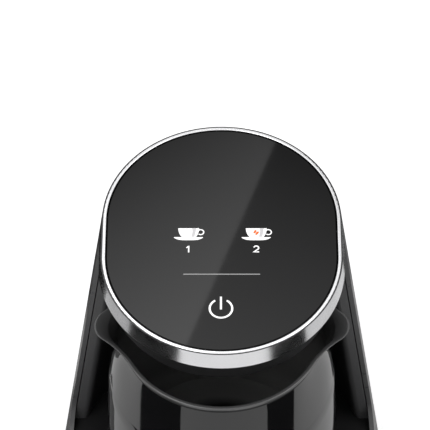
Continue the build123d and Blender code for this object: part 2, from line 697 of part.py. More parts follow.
def handle_bracket():
    """Steel saddle on the pot with a tongue that enters the handle."""
    half = BRACKET_WIDTH / 2
    saddle = block(-half, half, BRACKET_FRONT, POT_Y - 20, ARM_Z + 1.5, ARM_TOP - 1.5)
    saddle = fillet(saddle.edges().filter_by(Axis.Y), 3.0)
    saddle -= pot_outside()
    saddle &= block(-half, half, BRACKET_FRONT, POT_Y, ARM_Z, ARM_TOP)
    tongue_half = TONGUE_WIDTH / 2
    tongue_end = BRACKET_FRONT - TONGUE_LENGTH
    tongue = block(-tongue_half, tongue_half, tongue_end, BRACKET_FRONT + 1, TONGUE_Z, TONGUE_TOP)
    return saddle + tongue - cyl(SCREW_R + SCREW_PLAY, TONGUE_Z - 1, TONGUE_TOP + 1, 0, HANDLE_SCREW_Y)


def handle_blank():
    """Arm that slopes down from the saddle and turns into the upright grip."""
    with BuildPart() as blank:
        with BuildSketch(Plane.YZ) as side:
            with BuildLine():
                Polyline(
                    (BRACKET_FRONT, ARM_TOP - 1.0),
                    (GRIP_FRONT, ELBOW_Z),
                    (GRIP_FRONT, GRIP_BOTTOM),
                    (GRIP_BACK, GRIP_BOTTOM),
                    (GRIP_BACK, ELBOW_Z - ELBOW_DEPTH),
                    (BRACKET_FRONT, ARM_Z + 1.0),
                    close=True,
                )
            make_face()
            for height, radius in ((ELBOW_Z, 14.0), (ELBOW_Z - ELBOW_DEPTH, 9.0), (GRIP_BOTTOM, 5.0)):
                fillet([v for v in side.vertices() if abs(v.Y - height) < 0.1], radius)
        extrude(amount=HANDLE_WIDTH / 2, both=True)
    return blank.part


def handle():
    body = handle_blank()
    sides = [
        edge
        for edge in body.edges()
        if abs(abs(edge.center().X) - HANDLE_WIDTH / 2) < 0.01
        and edge.bounding_box().min.Y < BRACKET_FRONT - 1
    ]
    body = fillet(sides, HANDLE_ROUND)
    slot_half = TONGUE_WIDTH / 2 + 0.1
    end = BRACKET_FRONT - TONGUE_LENGTH - 0.2
    slot = block(-slot_half, slot_half, end, BRACKET_FRONT + 1, TONGUE_Z - 0.1, TONGUE_TOP + 0.1)
    body -= slot
    body -= cyl(SCREW_R + SCREW_PLAY, ARM_Z - 20, TONGUE_TOP + 2, 0, HANDLE_SCREW_Y)
    body -= cyl(SCREW_HEAD_R + 0.2, ARM_Z - 20, TONGUE_Z - HANDLE_SCREW_SEAT, 0, HANDLE_SCREW_Y)
    return body - inlay_block(0.1)


def inlay_block(grow):
    half = INLAY_WIDTH / 2 + grow
    z0, z1 = GRIP_BOTTOM + INLAY_MARGIN - grow, ELBOW_Z - INLAY_MARGIN + grow
    plate = block(-half, half, GRIP_FRONT, GRIP_FRONT + INLAY_THICK + grow, z0, z1)
    return fillet(plate.edges().filter_by(Axis.Y), 3.0 + grow)


def handle_inlay():
    """Gloss strip let into the front of the grip."""
    return inlay_block(0)


def handle_screw():
    return screws([(0, HANDLE_SCREW_Y)], TONGUE_Z - HANDLE_SCREW_SEAT, TONGUE_TOP + 1.5)[0]


# ---- heating --------------------------------------------------------------------------
def hot_plate():
    plate = cyl(PLATE_R, PLATE_Z, PLATE_TOP, 0, POT_Y)
    plate = chamfer(plate.edges().group_by(Axis.Z)[-1], 0.5)
    for x, y in LEG_SPOTS:
        plate += cyl(LEG_R, BRACKET_TOP, PLATE_Z, x, y)
    return plate - cyl(SENSOR_CAP_R + GAP, PLATE_Z - 1, PLATE_TOP + 1, 0, POT_Y)


def plate_gasket():
    """Silicone ring between the hot plate and the deck."""
    inner = PLATE_R + 0.1
    outer = DECK_HOLE_R - 0.1
    gasket = cyl(outer, DECK_Z0, DECK_Z + 0.7, 0, POT_Y)
    gasket += cyl(outer + GASKET_LIP, DECK_Z, DECK_Z + 0.7, 0, POT_Y)
    return gasket - cyl(inner, DECK_Z0 - 1, DECK_Z + 2, 0, POT_Y)


def heater_element():
    """Open ring heater under the plate, with its two ends turned down."""
    span = 360 - HEATER_OPENING
    start = 90 + HEATER_OPENING / 2
    path = CenterArc((0, 0), HEATER_R, start, span)
    section = Plane(origin=path @ 0, z_dir=path % 0) * Circle(HEATER_TUBE_R)
    ring = Pos(0, POT_Y, HEATER_Z) * sweep(section, path)
    for angle in (start, start + span):
        x = HEATER_R * math.cos(math.radians(angle))
        y = POT_Y + HEATER_R * math.sin(math.radians(angle))
        ring += Pos(x, y, HEATER_Z) * Sphere(HEATER_TUBE_R)
        ring += cyl(1.4, BRACKET_Z - 6, HEATER_Z, x, y)
    return ring


def heater_end_spots(radius):
    holes = []
    for angle in (90 + HEATER_OPENING / 2, 90 - HEATER_OPENING / 2):
        x = HEATER_R * math.cos(math.radians(angle))
        y = POT_Y + HEATER_R * math.sin(math.radians(angle))
        holes.append(cyl(radius, BRACKET_Z - 1, BRACKET_TOP + 1, x, y))
    return holes


def heater_bracket():
    """Steel plate under the heater; three tabs are screwed to the deck's bosses."""
    plate = cyl(BRACKET_R, BRACKET_Z, BRACKET_TOP, 0, POT_Y)
    reach = BOSS_RING + POST_R
    for angle in BOSS_ANGLES:
        tab = block(0, reach, -BRACKET_TAB / 2, BRACKET_TAB / 2, BRACKET_Z, BRACKET_TOP)
        plate += Pos(0, POT_Y, 0) * Rot(0, 0, angle) * tab
    plate -= cyl(HOLDER_R + 0.05, BRACKET_Z - 1, BRACKET_TOP + 1, 0, POT_Y)
    for hole in screw_holes(BOSS_SPOTS, BRACKET_Z - 1, BRACKET_TOP + 1):
        plate -= hole
    for hole in heater_end_spots(3.4):
        plate -= hole
    return plate


def plate_sensor():
    """Sprung temperature button in the middle of the hot plate."""
    top = PLATE_TOP - SENSOR_GAP
    button = cyl(SENSOR_CAP_R, top - SENSOR_CAP, top, 0, POT_Y)
    button = fillet(button.edges().group_by(Axis.Z)[-1], 0.6)
    return button + cyl(SENSOR_STEM_R, sensor_clip_z() - 1.6, top - SENSOR_CAP, 0, POT_Y)


def sensor_clip_z():
    """Top of the clip that stops the sensor under its holder."""
    return BRACKET_TOP + 2.0 - HOLDER_HEIGHT - SENSOR_GAP


def sensor_clip():
    z1 = sensor_clip_z()
    clip = cyl(SENSOR_STEM_R + 2.0, z1 - 0.8, z1, 0, POT_Y)
    clip -= cyl(SENSOR_STEM_R, z1 - 2, z1 + 1, 0, POT_Y)
    return clip - block(-1.5, 1.5, POT_Y, POT_Y + 10, z1 - 2, z1 + 1)


def sensor_holder():
    top = BRACKET_TOP + 2.0
    holder = cyl(HOLDER_R, top - HOLDER_HEIGHT, top, 0, POT_Y)
    holder += cyl(HOLDER_R + 2.0, BRACKET_TOP, top, 0, POT_Y)
    return holder - cyl(SENSOR_STEM_R + 0.08, top - 20, top + 1, 0, POT_Y)


def sensor_spring():
    bottom = BRACKET_TOP + 2.0 + SPRING_WIRE + 0.05
    top = PLATE_TOP - SENSOR_GAP - SENSOR_CAP - SPRING_WIRE - 0.05
    coil = Helix((top - bottom) / SPRING_TURNS, top - bottom, SPRING_R)
    section = Plane(origin=coil @ 0, z_dir=coil % 0) * Circle(SPRING_WIRE)
    return Pos(0, POT_Y, bottom) * sweep(section, coil, is_frenet=True)


def thermal_fuse():
    z = BRACKET_Z - 2.0
    body = Pos(0, POT_Y - 22, z) * Rot(0, 90, 0) * Cylinder(2.0, 11)
    return body + Pos(0, POT_Y - 22, z) * Rot(0, 90, 0) * Cylinder(0.5, 26)


def thermostat():
    """Bimetal cut-out under the bracket, with two flat terminals."""
    x, y = 24.0, POT_Y - 6.0
    body = cyl(8.0, BRACKET_Z - 7.5, BRACKET_Z, x, y)
    for side in (-4.0, 4.0):
        body += block(x + side - 0.4, x + side + 0.4, y - 3, y + 3, BRACKET_Z - 15, BRACKET_Z - 7)
    return body


# ---- electronics ----------------------------------------------------------------------
def rear_room(x, z):
    """Depth that is free behind the power board, at a place x from the middle and z high."""
    half = body_half(z) - SHELL_WALL - CASE_GAP
    return STRAIGHT / 2 + math.sqrt(half**2 - x**2) - POWER_BOARD_REAR


def power_board():
    wide, tall = POWER_BOARD
    y0, y1 = POWER_BOARD_Y, POWER_BOARD_REAR
    board = block(-wide / 2, wide / 2, y0, y1, POWER_BOARD_Z, POWER_BOARD_Z + tall)
    for x, z in POWER_SCREW_SPOTS:
        board -= rod_y(SCREW_R + 0.1, y0 - 1, y1 + 1, x, z)
    return board


def power_board_screws():
    parts = []
    for x, z in POWER_SCREW_SPOTS:
        shank = rod_y(SCREW_R, POWER_BOARD_Y - 4.5, POWER_BOARD_REAR, x, z)
        head = rod_y(SCREW_HEAD_R - 0.4, POWER_BOARD_REAR, POWER_BOARD_REAR + 1.6, x, z)
        parts.append(shank + head)
    return parts


def transformer():
    y0 = POWER_BOARD_REAR
    z0, z1 = POWER_BOARD_Z + 35, POWER_BOARD_Z + 53
    core = block(-22, -2, y0, y0 + rear_room(22, z1), z0, z1)
    winding = block(-19, -5, y0, y0 + rear_room(19, z1 - 3), z0 + 3, z1 - 3)
    return core + fillet(winding.edges().filter_by(Axis.Z), 2.0)


def power_relay():
    y0 = POWER_BOARD_REAR
    z1 = POWER_BOARD_Z + 32
    relay = block(-20, -4, y0, y0 + rear_room(20, z1), POWER_BOARD_Z + 12, z1)
    return fillet(relay.edges().group_by(Axis.Y)[-1], 0.8)


def filter_capacitor():
    y0 = POWER_BOARD_REAR
    body = block(2, 20, y0, y0 + 11, POWER_BOARD_Z + 36, POWER_BOARD_Z + 46)
    return fillet(body.edges().filter_by(Axis.Y), 1.5)


def terminal_block():
    y0 = POWER_BOARD_REAR
    z0 = POWER_BOARD_Z + 2
    body = block(-2, 20, y0, y0 + 10, z0 + 8, z0 + 20)
    for x in (3.5, 9.0, 14.5):
        body -= rod_y(1.8, y0 + 7, y0 + 12, x, z0 + 14)
    return body


def ribbon_socket():
    y0 = POWER_BOARD_REAR
    z1 = POWER_BOARD_Z + POWER_BOARD[1] - 9
    half = RIBBON_WIDTH / 2 + 1.5
    body = block(-half, half, y0, y0 + 4.5, z1 - 6, z1)
    slot = RIBBON_WIDTH / 2 + 0.1
    thick = RIBBON_THICK / 2 + 0.1
    return body - block(-slot, slot, RIBBON_Y - thick, RIBBON_Y + thick, z1 - 2.1, z1 + 1)


def lead(points, radius):
    """One round wire along straight runs joined by arcs."""
    path = FilletPolyline(*points, radius=radius)
    section = Plane(origin=path @ 0, z_dir=path % 0) * Circle(LEAD_R)
    return sweep(section, path)


def mains_leads():
    """Two wires from the gland up to the terminal block."""
    z1 = POWER_BOARD_Z + 10
    rear = STRAIGHT / 2 + body_half(GLAND_Z) - 16
    wires = []
    for side, x in ((-1.5, 3.5), (1.5, 9.0)):
        y1 = POWER_BOARD_REAR + 5.0
        points = [(side, rear + 2, GLAND_Z), (x, y1, GLAND_Z), (x, y1, z1)]
        wires.append(lead(points, 6.0))
    return wires


def heater_leads():
    """Two wires from the power board's foot to the ends of the heater."""
    wires = []
    z_low = BRACKET_Z - 7.2
    for side, angle in ((-1, 90 + HEATER_OPENING / 2), (1, 90 - HEATER_OPENING / 2)):
        x0 = HEATER_R * math.cos(math.radians(angle))
        y0 = POT_Y + HEATER_R * math.sin(math.radians(angle))
        y1 = POWER_BOARD_REAR + 5.0
        x1 = side * 16.0
        points = [(x0, y0, z_low), (x1, y1, z_low), (x1, y1, POWER_BOARD_Z + 10)]
        wires.append(lead(points, 6.0))
    return wires


# ---- screws -----------------------------------------------------------------------------
def base_screws():
    return screws(POST_SPOTS, BOTTOM_Z + SCREW_HEAD - 0.8, BASE_TOP + 8)


def pan_screws():
    return screws(PAN_SCREW_SPOTS, PAN_Z + SCREW_HEAD + 1.0, RING_Z + 2.6)


def bracket_screws():
    return screws(BOSS_SPOTS, BRACKET_Z, BRACKET_TOP + 6)


def liner_screws():
    return screws(LINER_SCREW_SPOTS, DECK_Z0, DECK_Z + 8)


# ---- all pieces -----------------------------------------------------------------------
def placed(shape):
    """A piece, or a group of alike pieces, moved to the origin in the footprint's middle."""
    parts = shape if isinstance(shape, list) else [shape]
    solids = [solid for part in parts for solid in part.solids()]
    return Pos(0, CENTRE_SHIFT, 0) * (solids[0] if len(solids) == 1 else Compound(solids))


PIECES = [
    outer_shell,
    niche_liner,
    base_deck,
    base_plate,
    rubber_feet,
    cord_gland,
    chrome_ring,
    glass_panel,
    glass_tape,
    panel_frame,
    head_pan,
    touch_board,
    touch_pads,
    indicator_leds,
    touch_board_screws,
    buzzer,
    touch_board_chips,
    sensor_window,
    level_sensor,
    sensor_board,
    panel_ribbon,
    hot_plate,
    plate_gasket,
    heater_element,
    heater_bracket,
    plate_sensor,
    sensor_clip,
    sensor_holder,
    sensor_spring,
    thermal_fuse,
    thermostat,
    power_board,
    power_board_screws,
    transformer,
    power_relay,
    filter_capacitor,
    terminal_block,
    ribbon_socket,
    mains_leads,
    heater_leads,
    pot_body,
    pot_base_disc,
    handle_bracket,
    handle,
    handle_inlay,
    handle_screw,
    base_screws,
    pan_screws,
    bracket_screws,
    liner_screws,
]


def main():
    os.makedirs("parts", exist_ok=True)
    for make in PIECES:
        shape = placed(make())
        export_step(shape, f"parts/{make.__name__}.step")
        print(f"{make.__name__}: {shape.volume:.0f} mm3")


main()
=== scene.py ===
import math
from collections import namedtuple

import bmesh
import bpy
from mathutils import Matrix, Vector


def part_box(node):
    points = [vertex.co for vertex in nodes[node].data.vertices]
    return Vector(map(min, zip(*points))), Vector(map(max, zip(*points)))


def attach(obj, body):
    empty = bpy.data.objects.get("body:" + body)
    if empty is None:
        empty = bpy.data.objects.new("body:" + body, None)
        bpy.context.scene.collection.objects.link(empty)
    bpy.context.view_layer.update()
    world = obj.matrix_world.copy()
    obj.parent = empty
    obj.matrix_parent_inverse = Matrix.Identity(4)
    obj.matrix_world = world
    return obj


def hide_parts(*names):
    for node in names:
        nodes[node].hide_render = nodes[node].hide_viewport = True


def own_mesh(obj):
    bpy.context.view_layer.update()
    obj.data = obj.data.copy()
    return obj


# Electric Turkish coffee maker: finishes, pot, panel graphics, studio and camera around the
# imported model. Metres, +Z up, front is -Y. Sizes in millimetres are multiplied by MM.

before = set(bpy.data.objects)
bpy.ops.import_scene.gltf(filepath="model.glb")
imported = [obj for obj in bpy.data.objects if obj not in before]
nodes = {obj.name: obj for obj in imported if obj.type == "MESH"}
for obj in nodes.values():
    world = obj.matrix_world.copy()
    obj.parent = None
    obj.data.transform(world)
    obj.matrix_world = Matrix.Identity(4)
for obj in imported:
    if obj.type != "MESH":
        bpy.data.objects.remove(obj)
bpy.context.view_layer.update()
scene = bpy.context.scene
MM = 0.001

ring_low, ring_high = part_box("chrome_ring")
PANEL_Y = (ring_low.y + ring_high.y) / 2
PANEL = Vector((0, PANEL_Y, ring_high.z))     # middle of the panel, at the lip's top
GLASS_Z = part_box("glass_panel")[1].z

# ---- camera -------------------------------------------------------------------------------
CAMERA_ELEVATION = 0.92778       # radians above the panel's plane
CAMERA_DISTANCE = 1.0669         # from the panel's middle
FOCAL_PIXELS = 2651.6            # focal length in pixels of the frame
FRAME_PIXELS = 430
PANEL_PIXEL = (221.711, 236.944)
SENSOR_MM = 36.0
CLIP_NEAR, CLIP_FAR = 0.05, 30


def make_camera():
    """Camera whose view puts the panel's middle at PANEL_PIXEL."""
    elevation = CAMERA_ELEVATION
    toward = Vector((0, math.cos(elevation), -math.sin(elevation)))
    right = Vector((1, 0, 0))
    up = right.cross(toward)
    middle = FRAME_PIXELS / 2
    tilt = Matrix.Rotation(math.atan((PANEL_PIXEL[1] - middle) / FOCAL_PIXELS), 3, right)
    toward = tilt @ toward
    up = tilt @ up
    turn = Matrix.Rotation(math.atan((PANEL_PIXEL[0] - middle) / FOCAL_PIXELS), 3, up)
    toward = turn @ toward
    right = turn @ right
    data = bpy.data.cameras.new("camera")
    data.sensor_width = SENSOR_MM
    data.lens = FOCAL_PIXELS / FRAME_PIXELS * SENSOR_MM
    data.clip_start, data.clip_end = CLIP_NEAR, CLIP_FAR
    camera = bpy.data.objects.new("camera", data)
    scene.collection.objects.link(camera)
    back = Vector((0, -math.cos(elevation), math.sin(elevation)))
    place = Matrix((right, up, -toward)).transposed().to_4x4()
    place.translation = PANEL + back * CAMERA_DISTANCE
    camera.matrix_world = place
    scene.camera = camera


make_camera()


# ---- shader helpers -----------------------------------------------------------------------
NOISE_LOW, NOISE_HIGH = 0.3, 0.7     # most of a noise lies between these
MIX_A, MIX_B, MIX_RESULT = 6, 7, 2   # colour sockets of a Mix node


class Shader:
    """A material's node tree, with short calls to add and join nodes. Sizes are in metres."""

    def __init__(self, name):
        """Starts a new material with an empty tree."""
        self.material = bpy.data.materials.new(name)
        self.material.use_nodes = True
        self.tree = self.material.node_tree
        self.tree.nodes.clear()

    def add(self, kind, **settings):
        """Adds a node of this kind, with these settings."""
        node = self.tree.nodes.new(kind)
        for key, value in settings.items():
            setattr(node, key, value)
        return node

    def join(self, source, target):
        """Links an output to an input."""
        self.tree.links.new(source, target)

    def object_coords(self):
        """The surface point in the object's own coordinates, which are the frame's at rest."""
        return self.add("ShaderNodeTexCoord").outputs["Object"]

    def split(self, vector):
        """The X, Y and Z of a vector, to be taken by name."""
        node = self.add("ShaderNodeSeparateXYZ")
        self.join(vector, node.inputs["Vector"])
        return node.outputs

    def vector_math(self, operation, vector, other=None):
        """A vector calculation; other is its second vector, which is fixed."""
        node = self.add("ShaderNodeVectorMath", operation=operation)
        if other is not None:
            node.inputs[1].default_value = other
        self.join(vector, node.inputs[0])
        return node.outputs["Value" if operation in ("LENGTH", "DOT_PRODUCT") else "Vector"]

    def noise(self, size, detail=3):
        """Noise whose features are about size across."""
        node = self.add("ShaderNodeTexNoise")
        node.inputs["Scale"].default_value = 1.0 / size
        node.inputs["Detail"].default_value = detail
        self.join(self.object_coords(), node.inputs["Vector"])
        return node.outputs["Fac"]

    def ramp(self, value, stops):
        """Colours along value: stops are (position, colour)."""
        node = self.add("ShaderNodeValToRGB")
        elements = node.color_ramp.elements
        for position, _ in stops[len(elements):]:
            elements.new(position)
        for element, (position, color) in zip(elements, stops):
            element.position = position
            element.color = (*color, 1)
        self.join(value, node.inputs["Fac"])
        return node.outputs["Color"]

    def map_range(self, value, start, end, low=0.0, high=1.0, clamp=True):
        """low where value is start and high where it is end; clamp stops it there."""
        node = self.add("ShaderNodeMapRange", clamp=clamp)
        node.inputs["From Min"].default_value = start
        node.inputs["From Max"].default_value = end
        node.inputs["To Min"].default_value = low
        node.inputs["To Max"].default_value = high
        self.join(value, node.inputs["Value"])
        return node.outputs["Result"]

    def mottle(self, noise, low, high):
        """Colours from low to high that follow a noise."""
        return self.ramp(noise, [(NOISE_LOW, low), (NOISE_HIGH, high)])

    def vary(self, noise, value, share):
        """A number that follows a noise, up to this share of value above and below it."""
        low, high = value * (1 - share), value * (1 + share)
        return self.map_range(noise, NOISE_LOW, NOISE_HIGH, low, high)

    def bump(self, height, depth):
        """Bump of about depth, from a height between 0 and 1."""
        node = self.add("ShaderNodeBump")
        node.inputs["Distance"].default_value = depth
        self.join(height, node.inputs["Height"])
        return node.outputs["Normal"]

    def grain(self, size, depth):
        """Bump of fine grain, size across and depth deep."""
        return self.bump(self.noise(size, detail=2), depth)

    def cover(self, kind, sockets):
        """The material, covered by this kind of shader: values are set on it, outputs joined."""
        node = self.add(kind)
        for name, value in sockets.items():
            socket = node.inputs[name.replace("_", " ")]
            if isinstance(value, bpy.types.NodeSocket):
                self.join(value, socket)
            else:
                socket.default_value = value
        output = self.add("ShaderNodeOutputMaterial")
        self.join(node.outputs[0], output.inputs["Surface"])
        return self.material

    def principled(self, **sockets):
        """The material with a principled surface."""
        return self.cover("ShaderNodeBsdfPrincipled", sockets)

    def emission(self, **sockets):
        """The material with a surface that only glows."""
        return self.cover("ShaderNodeEmission", sockets)


def shade(color, factor):
    """The colour, made brighter or darker by factor."""
    return tuple(channel * factor for channel in color)


def grey(level):
    """A grey whose three channels are all level."""
    return (level, level, level)


CLOUD_SIZE, GLOSS_CLOUD_SIZE = 0.02, 0.006
GRAIN_SIZE, GRAIN_DEPTH = 0.0004, 0.000004
MOULDED_GLOSS_SHARE, METAL_GLOSS_SHARE = 0.15, 0.2


def moulded(name, color, roughness, depth=GRAIN_DEPTH, variation=0.12, ior=1.5, **more):
    """Moulded plastic, rubber or lacquer: fine grain, slight mottling of colour and gloss.

    more are further sockets of the surface.
    """
    shader = Shader(name)
    cloud = shader.noise(CLOUD_SIZE, detail=4)
    base = shader.mottle(cloud, shade(color, 1 - variation), shade(color, 1 + variation))
    gloss = shader.vary(shader.noise(GLOSS_CLOUD_SIZE, detail=5), roughness, MOULDED_GLOSS_SHARE)
    normal = shader.grain(GRAIN_SIZE, depth)
    return shader.principled(Base_Color=base, Roughness=gloss, IOR=ior, Normal=normal, **more)


def metal(name, color, roughness, grain=0.0005, depth=0.000002, variation=0.06):
    """Metal whose colour, gloss and surface follow one grain."""
    shader = Shader(name)
    streaks = shader.noise(grain)
    base = shader.mottle(streaks, shade(color, 1 - variation), shade(color, 1 + variation))
    gloss = shader.vary(streaks, roughness, METAL_GLOSS_SHARE)
    normal = shader.bump(streaks, depth)
    return shader.principled(Base_Color=base, Metallic=1.0, Roughness=gloss, Normal=normal)


def dress(material, *names):
    """The material covers these CAD nodes."""
    for name in names:
        slots = nodes[name].data.materials
        slots.clear()
        slots.append(material)


# ---- finishes -----------------------------------------------------------------------------
BLACK = (0.012, 0.012, 0.0125)
SOFT_BLACK = (0.066, 0.066, 0.068)      # pale enough to read dark grey in a bright studio
# Painted highlight: the niche's front lip is painted pale and fades into painted shade further in.
PAINTED_HIGHLIGHT_START, PAINTED_HIGHLIGHT_END = 0.001, 0.0045      # where the niche's pale lip fades, from its front
LIP_CLOUD_SIZE, LIP_CLOUD = 0.01, 0.06  # the cloud in that fade, and how much it moves it


def liner_with_painted_lip_highlight():
    """Dark satin niche whose front lip is painted paler, a painted highlight, with a darker black
    deeper in that is painted shade.
    """
    shader = Shader("liner_black")
    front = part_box("niche_liner")[0].y
    depth = shader.split(shader.object_coords())["Y"]
    painted_highlight_fade = shader.add("ShaderNodeMath", operation="MULTIPLY_ADD")
    shader.join(shader.noise(LIP_CLOUD_SIZE, detail=4), painted_highlight_fade.inputs[0])
    painted_highlight_fade.inputs[1].default_value = LIP_CLOUD
    shader.join(shader.map_range(depth, front + PAINTED_HIGHLIGHT_START, front + PAINTED_HIGHLIGHT_END), painted_highlight_fade.inputs[2])
    # Pale on the front lip as painted highlight, darker black deeper in as painted shade.
    stops = [(LIP_CLOUD / 2, SOFT_BLACK), (1.0, shade(BLACK, 0.9))]
    base = shader.ramp(painted_highlight_fade.outputs["Value"], stops)
    normal = shader.grain(GRAIN_SIZE, GRAIN_DEPTH)
    return shader.principled(Base_Color=base, Roughness=0.35, Normal=normal)


dress(moulded("shell_black", SOFT_BLACK, 0.3, depth=0.000001, variation=0.03), "outer_shell")
dress(moulded("deck_black", BLACK, 0.45, Specular_IOR_Level=0.2), "base_deck")
dress(liner_with_painted_lip_highlight(), "niche_liner")
dress(moulded("pan_black", shade(BLACK, 0.7), 0.6, Specular_IOR_Level=0.1), "head_pan")
dress(moulded("base_black", BLACK, 0.5, depth=0.00002), "base_plate")
dress(moulded("feet_rubber", grey(0.02), 0.7, depth=0.00002), "rubber_feet", "cord_gland")
dress(moulded("gasket_silicone", (0.03, 0.03, 0.032), 0.55), "plate_gasket", "glass_tape")
dress(moulded("panel_glass", (0.003, 0.003, 0.0033), 0.03, depth=0.0, ior=1.37), "glass_panel")
dress(moulded("smoked_window", (0.01, 0.004, 0.006), 0.08), "sensor_window")
ring_chrome = metal("ring_chrome", (0.87, 0.87, 0.885), 0.17, grain=0.01, depth=0.0, variation=0.02)
dress(ring_chrome, "chrome_ring")
dress(metal("pot_steel", (0.62, 0.62, 0.63), 0.3), "pot_base_disc", "handle_bracket")
dress(moulded("handle_black", BLACK, 0.36, depth=0.00001), "handle")
dress(moulded("inlay_black", (0.008, 0.008, 0.0085), 0.08), "handle_inlay")
dress(metal("plate_grey", (0.16, 0.16, 0.165), 0.38), "hot_plate")
dress(moulded("natural_plastic", (0.45, 0.45, 0.42), 0.5), "panel_frame", "sensor_holder")
dress(moulded("terminal_grey", (0.35, 0.36, 0.36), 0.45), "terminal_block", "ribbon_socket")
dress(
    moulded("board_green", (0.01, 0.10, 0.045), 0.35),
    "touch_board",
    "sensor_board",
    "power_board",
)
dress(moulded("device_black", (0.02, 0.02, 0.021), 0.4), "buzzer", "touch_board_chips")
dress(moulded("relay_black", (0.015, 0.015, 0.016), 0.35), "power_relay", "level_sensor")
dress(moulded("capacitor_yellow", (0.55, 0.4, 0.05), 0.35), "filter_capacitor")
dress(moulded("transformer_tape", (0.6, 0.42, 0.06), 0.4), "transformer")
dress(moulded("pad_foam", grey(0.05), 0.8), "touch_pads")
dress(moulded("led_resin", (0.8, 0.8, 0.75), 0.2), "indicator_leds")
dress(moulded("ribbon_grey", (0.4, 0.4, 0.42), 0.5), "panel_ribbon")
dress(moulded("lead_sleeve", (0.7, 0.68, 0.62), 0.7), "mains_leads", "heater_leads")
dress(moulded("thermostat_case", (0.5, 0.46, 0.38), 0.5), "thermostat")
dress(metal("drawn_steel", grey(0.5), 0.35), "heater_element", "heater_bracket", "sensor_spring")
dress(metal("sensor_steel", (0.6, 0.6, 0.61), 0.25), "plate_sensor", "sensor_clip", "thermal_fuse")
dress(
    metal("screw_zinc", (0.6, 0.6, 0.62), 0.3),
    "touch_board_screws",
    "power_board_screws",
    "handle_screw",
    "base_screws",
    "pan_screws",
    "bracket_screws",
    "liner_screws",
)


# ---- mesh helpers -------------------------------------------------------------------------
def curve(points, steps):
    """A smooth curve through points, steps pieces between each two."""
    out = []
    ends = [points[0] * 2 - points[1], *points, points[-1] * 2 - points[-2]]
    for a, b, c, d in zip(ends, ends[1:], ends[2:], ends[3:]):
        for step in range(steps):
            t = step / steps
            linear = (c - a) * t
            square = (a * 2 - b * 5 + c * 4 - d) * t * t
            cubic = (b * 3 - a - c * 3 + d) * t**3
            out.append(b + (linear + square + cubic) / 2)
    return out + [points[-1]]


def finish_smooth(build, sharp_angle):
    """Turns all faces outwards, and keeps the edges sharp that bend by more than the angle."""
    bmesh.ops.recalc_face_normals(build, faces=build.faces)
    for edge in build.edges:
        if len(edge.link_faces) == 2 and edge.calc_face_angle() > sharp_angle:
            edge.smooth = False


def new_object(name, build, *materials):
    """A new object in the scene, with the mesh that was built."""
    mesh = bpy.data.meshes.new(name)
    build.to_mesh(mesh)
    build.free()
    for material in materials:
        mesh.materials.append(material)
    made = bpy.data.objects.new(name, mesh)
    scene.collection.objects.link(made)
    return made


# ---- pot ----------------------------------------------------------------------------------
# Its own mesh, in polar columns about the pot's axis. Lengths in millimetres.
POT_BEHIND = -20.9               # pot's axis from the panel's middle
POT_Y = PANEL_Y + POT_BEHIND * MM
RIM_Z, RIM_R = 169.0, 42.81
CREASE_Z, CREASE_R = 136.0, 46.9
BELLY_Z, BELLY_R = 79.5, 49.88
FOOT_R, BASE_Z = 43.88, 60.7
RECESS_R, RECESS_HIGH = 39.9, 0.4
WALL, FLOOR_Z = 2.0, 62.7
CORNER, CORNER_CUT = 3, 0.9      # the foot's round corner, and where it crosses the diagonal
POT_SIDE = [                     # (radius, height) from the foot to the crease
    (FOOT_R - CORNER, BASE_Z),
    (FOOT_R - CORNER_CUT, BASE_Z + CORNER_CUT),
    (FOOT_R, BASE_Z + CORNER),
    (BELLY_R - 1.0, BELLY_Z - 9),
    (BELLY_R, BELLY_Z),
    (49.25, 96),
    (48.3, 114),
    (CREASE_R, CREASE_Z),
]
SPOUT_REACH, SPOUT_TIP_R, SPOUT_BLEND_R = 9.4, 8.4, 40.0
SPOUT_TURN = math.radians(3)     # both spouts are turned to the front by this
SPOUT_FADE = 6.0                 # how quickly a spout flares out of the side
# The neck is pinched in beside each spout: how deep, and its middle and half width in angle.
PINCH, PINCH_ANGLE, PINCH_HALF = 0.7, math.radians(24), math.radians(22)
BEAD_PROUD, BEAD_HIGH = 0.4, 1.2     # rolled bead round the rim
NECK_TOP = RIM_Z - BEAD_HIGH - 0.4   # the neck's straight side ends a little below the bead
# The bead's lower edge: (height below it, inwards as a share of BEAD_PROUD).
BEAD_EDGE = [(0.1, 0.85), (0.0, 0.3)]
RIM_ROUND, RIM_FLAT = 0.45, 0.9      # outer rounding of the rim, and where the inner one starts
INNER_ROUND, SPOUT_INNER_ROUND = 1.0, 2.2
POT_COLUMNS, SIDE_STEPS, NECK_STEPS, RIM_STEPS = 360, 6, 26, 5
NECK_CROWDING = 1.6              # crowds the neck's rows towards the rim
# Painted shadow: a dark strip just under the bead, where shade falls.
PAINTED_BEAD_SHADOW_ROWS = 4               # rows of the dark line under the bead
POT_SHARP = math.radians(35)
ENAMEL, LINING, RIM, PAINTED_BEAD_SHADOW = range(4)     # the pot's materials, in their order
# Lining, with painted shade: (share of the inside's height, grey), paler low in the pot and darker
# towards the rim, and the black middle of the bottom, which is painted shade too.
LINING_PAINTED_SHADE_GREYS = [(0.0, 0.24), (0.3, 0.24), (0.7, 0.07), (1.0, 0.04)]
LINING_GRAIN_SIZE = 0.0005
# The painted shade in the middle of the bottom: radius and fade in millimetres, and its grey.
PAINTED_SHADE_R, PAINTED_SHADE_FADE, PAINTED_SHADE_GREY = 28.5, 5, 0.03

# A row round the pot. One with no radius follows the neck. It lies inward inside that, or, where
# rounding isn't None, at that share of the way over the rim's inner rounding.
Row = namedtuple("Row", "radius z inward rounding", defaults=(0, None))


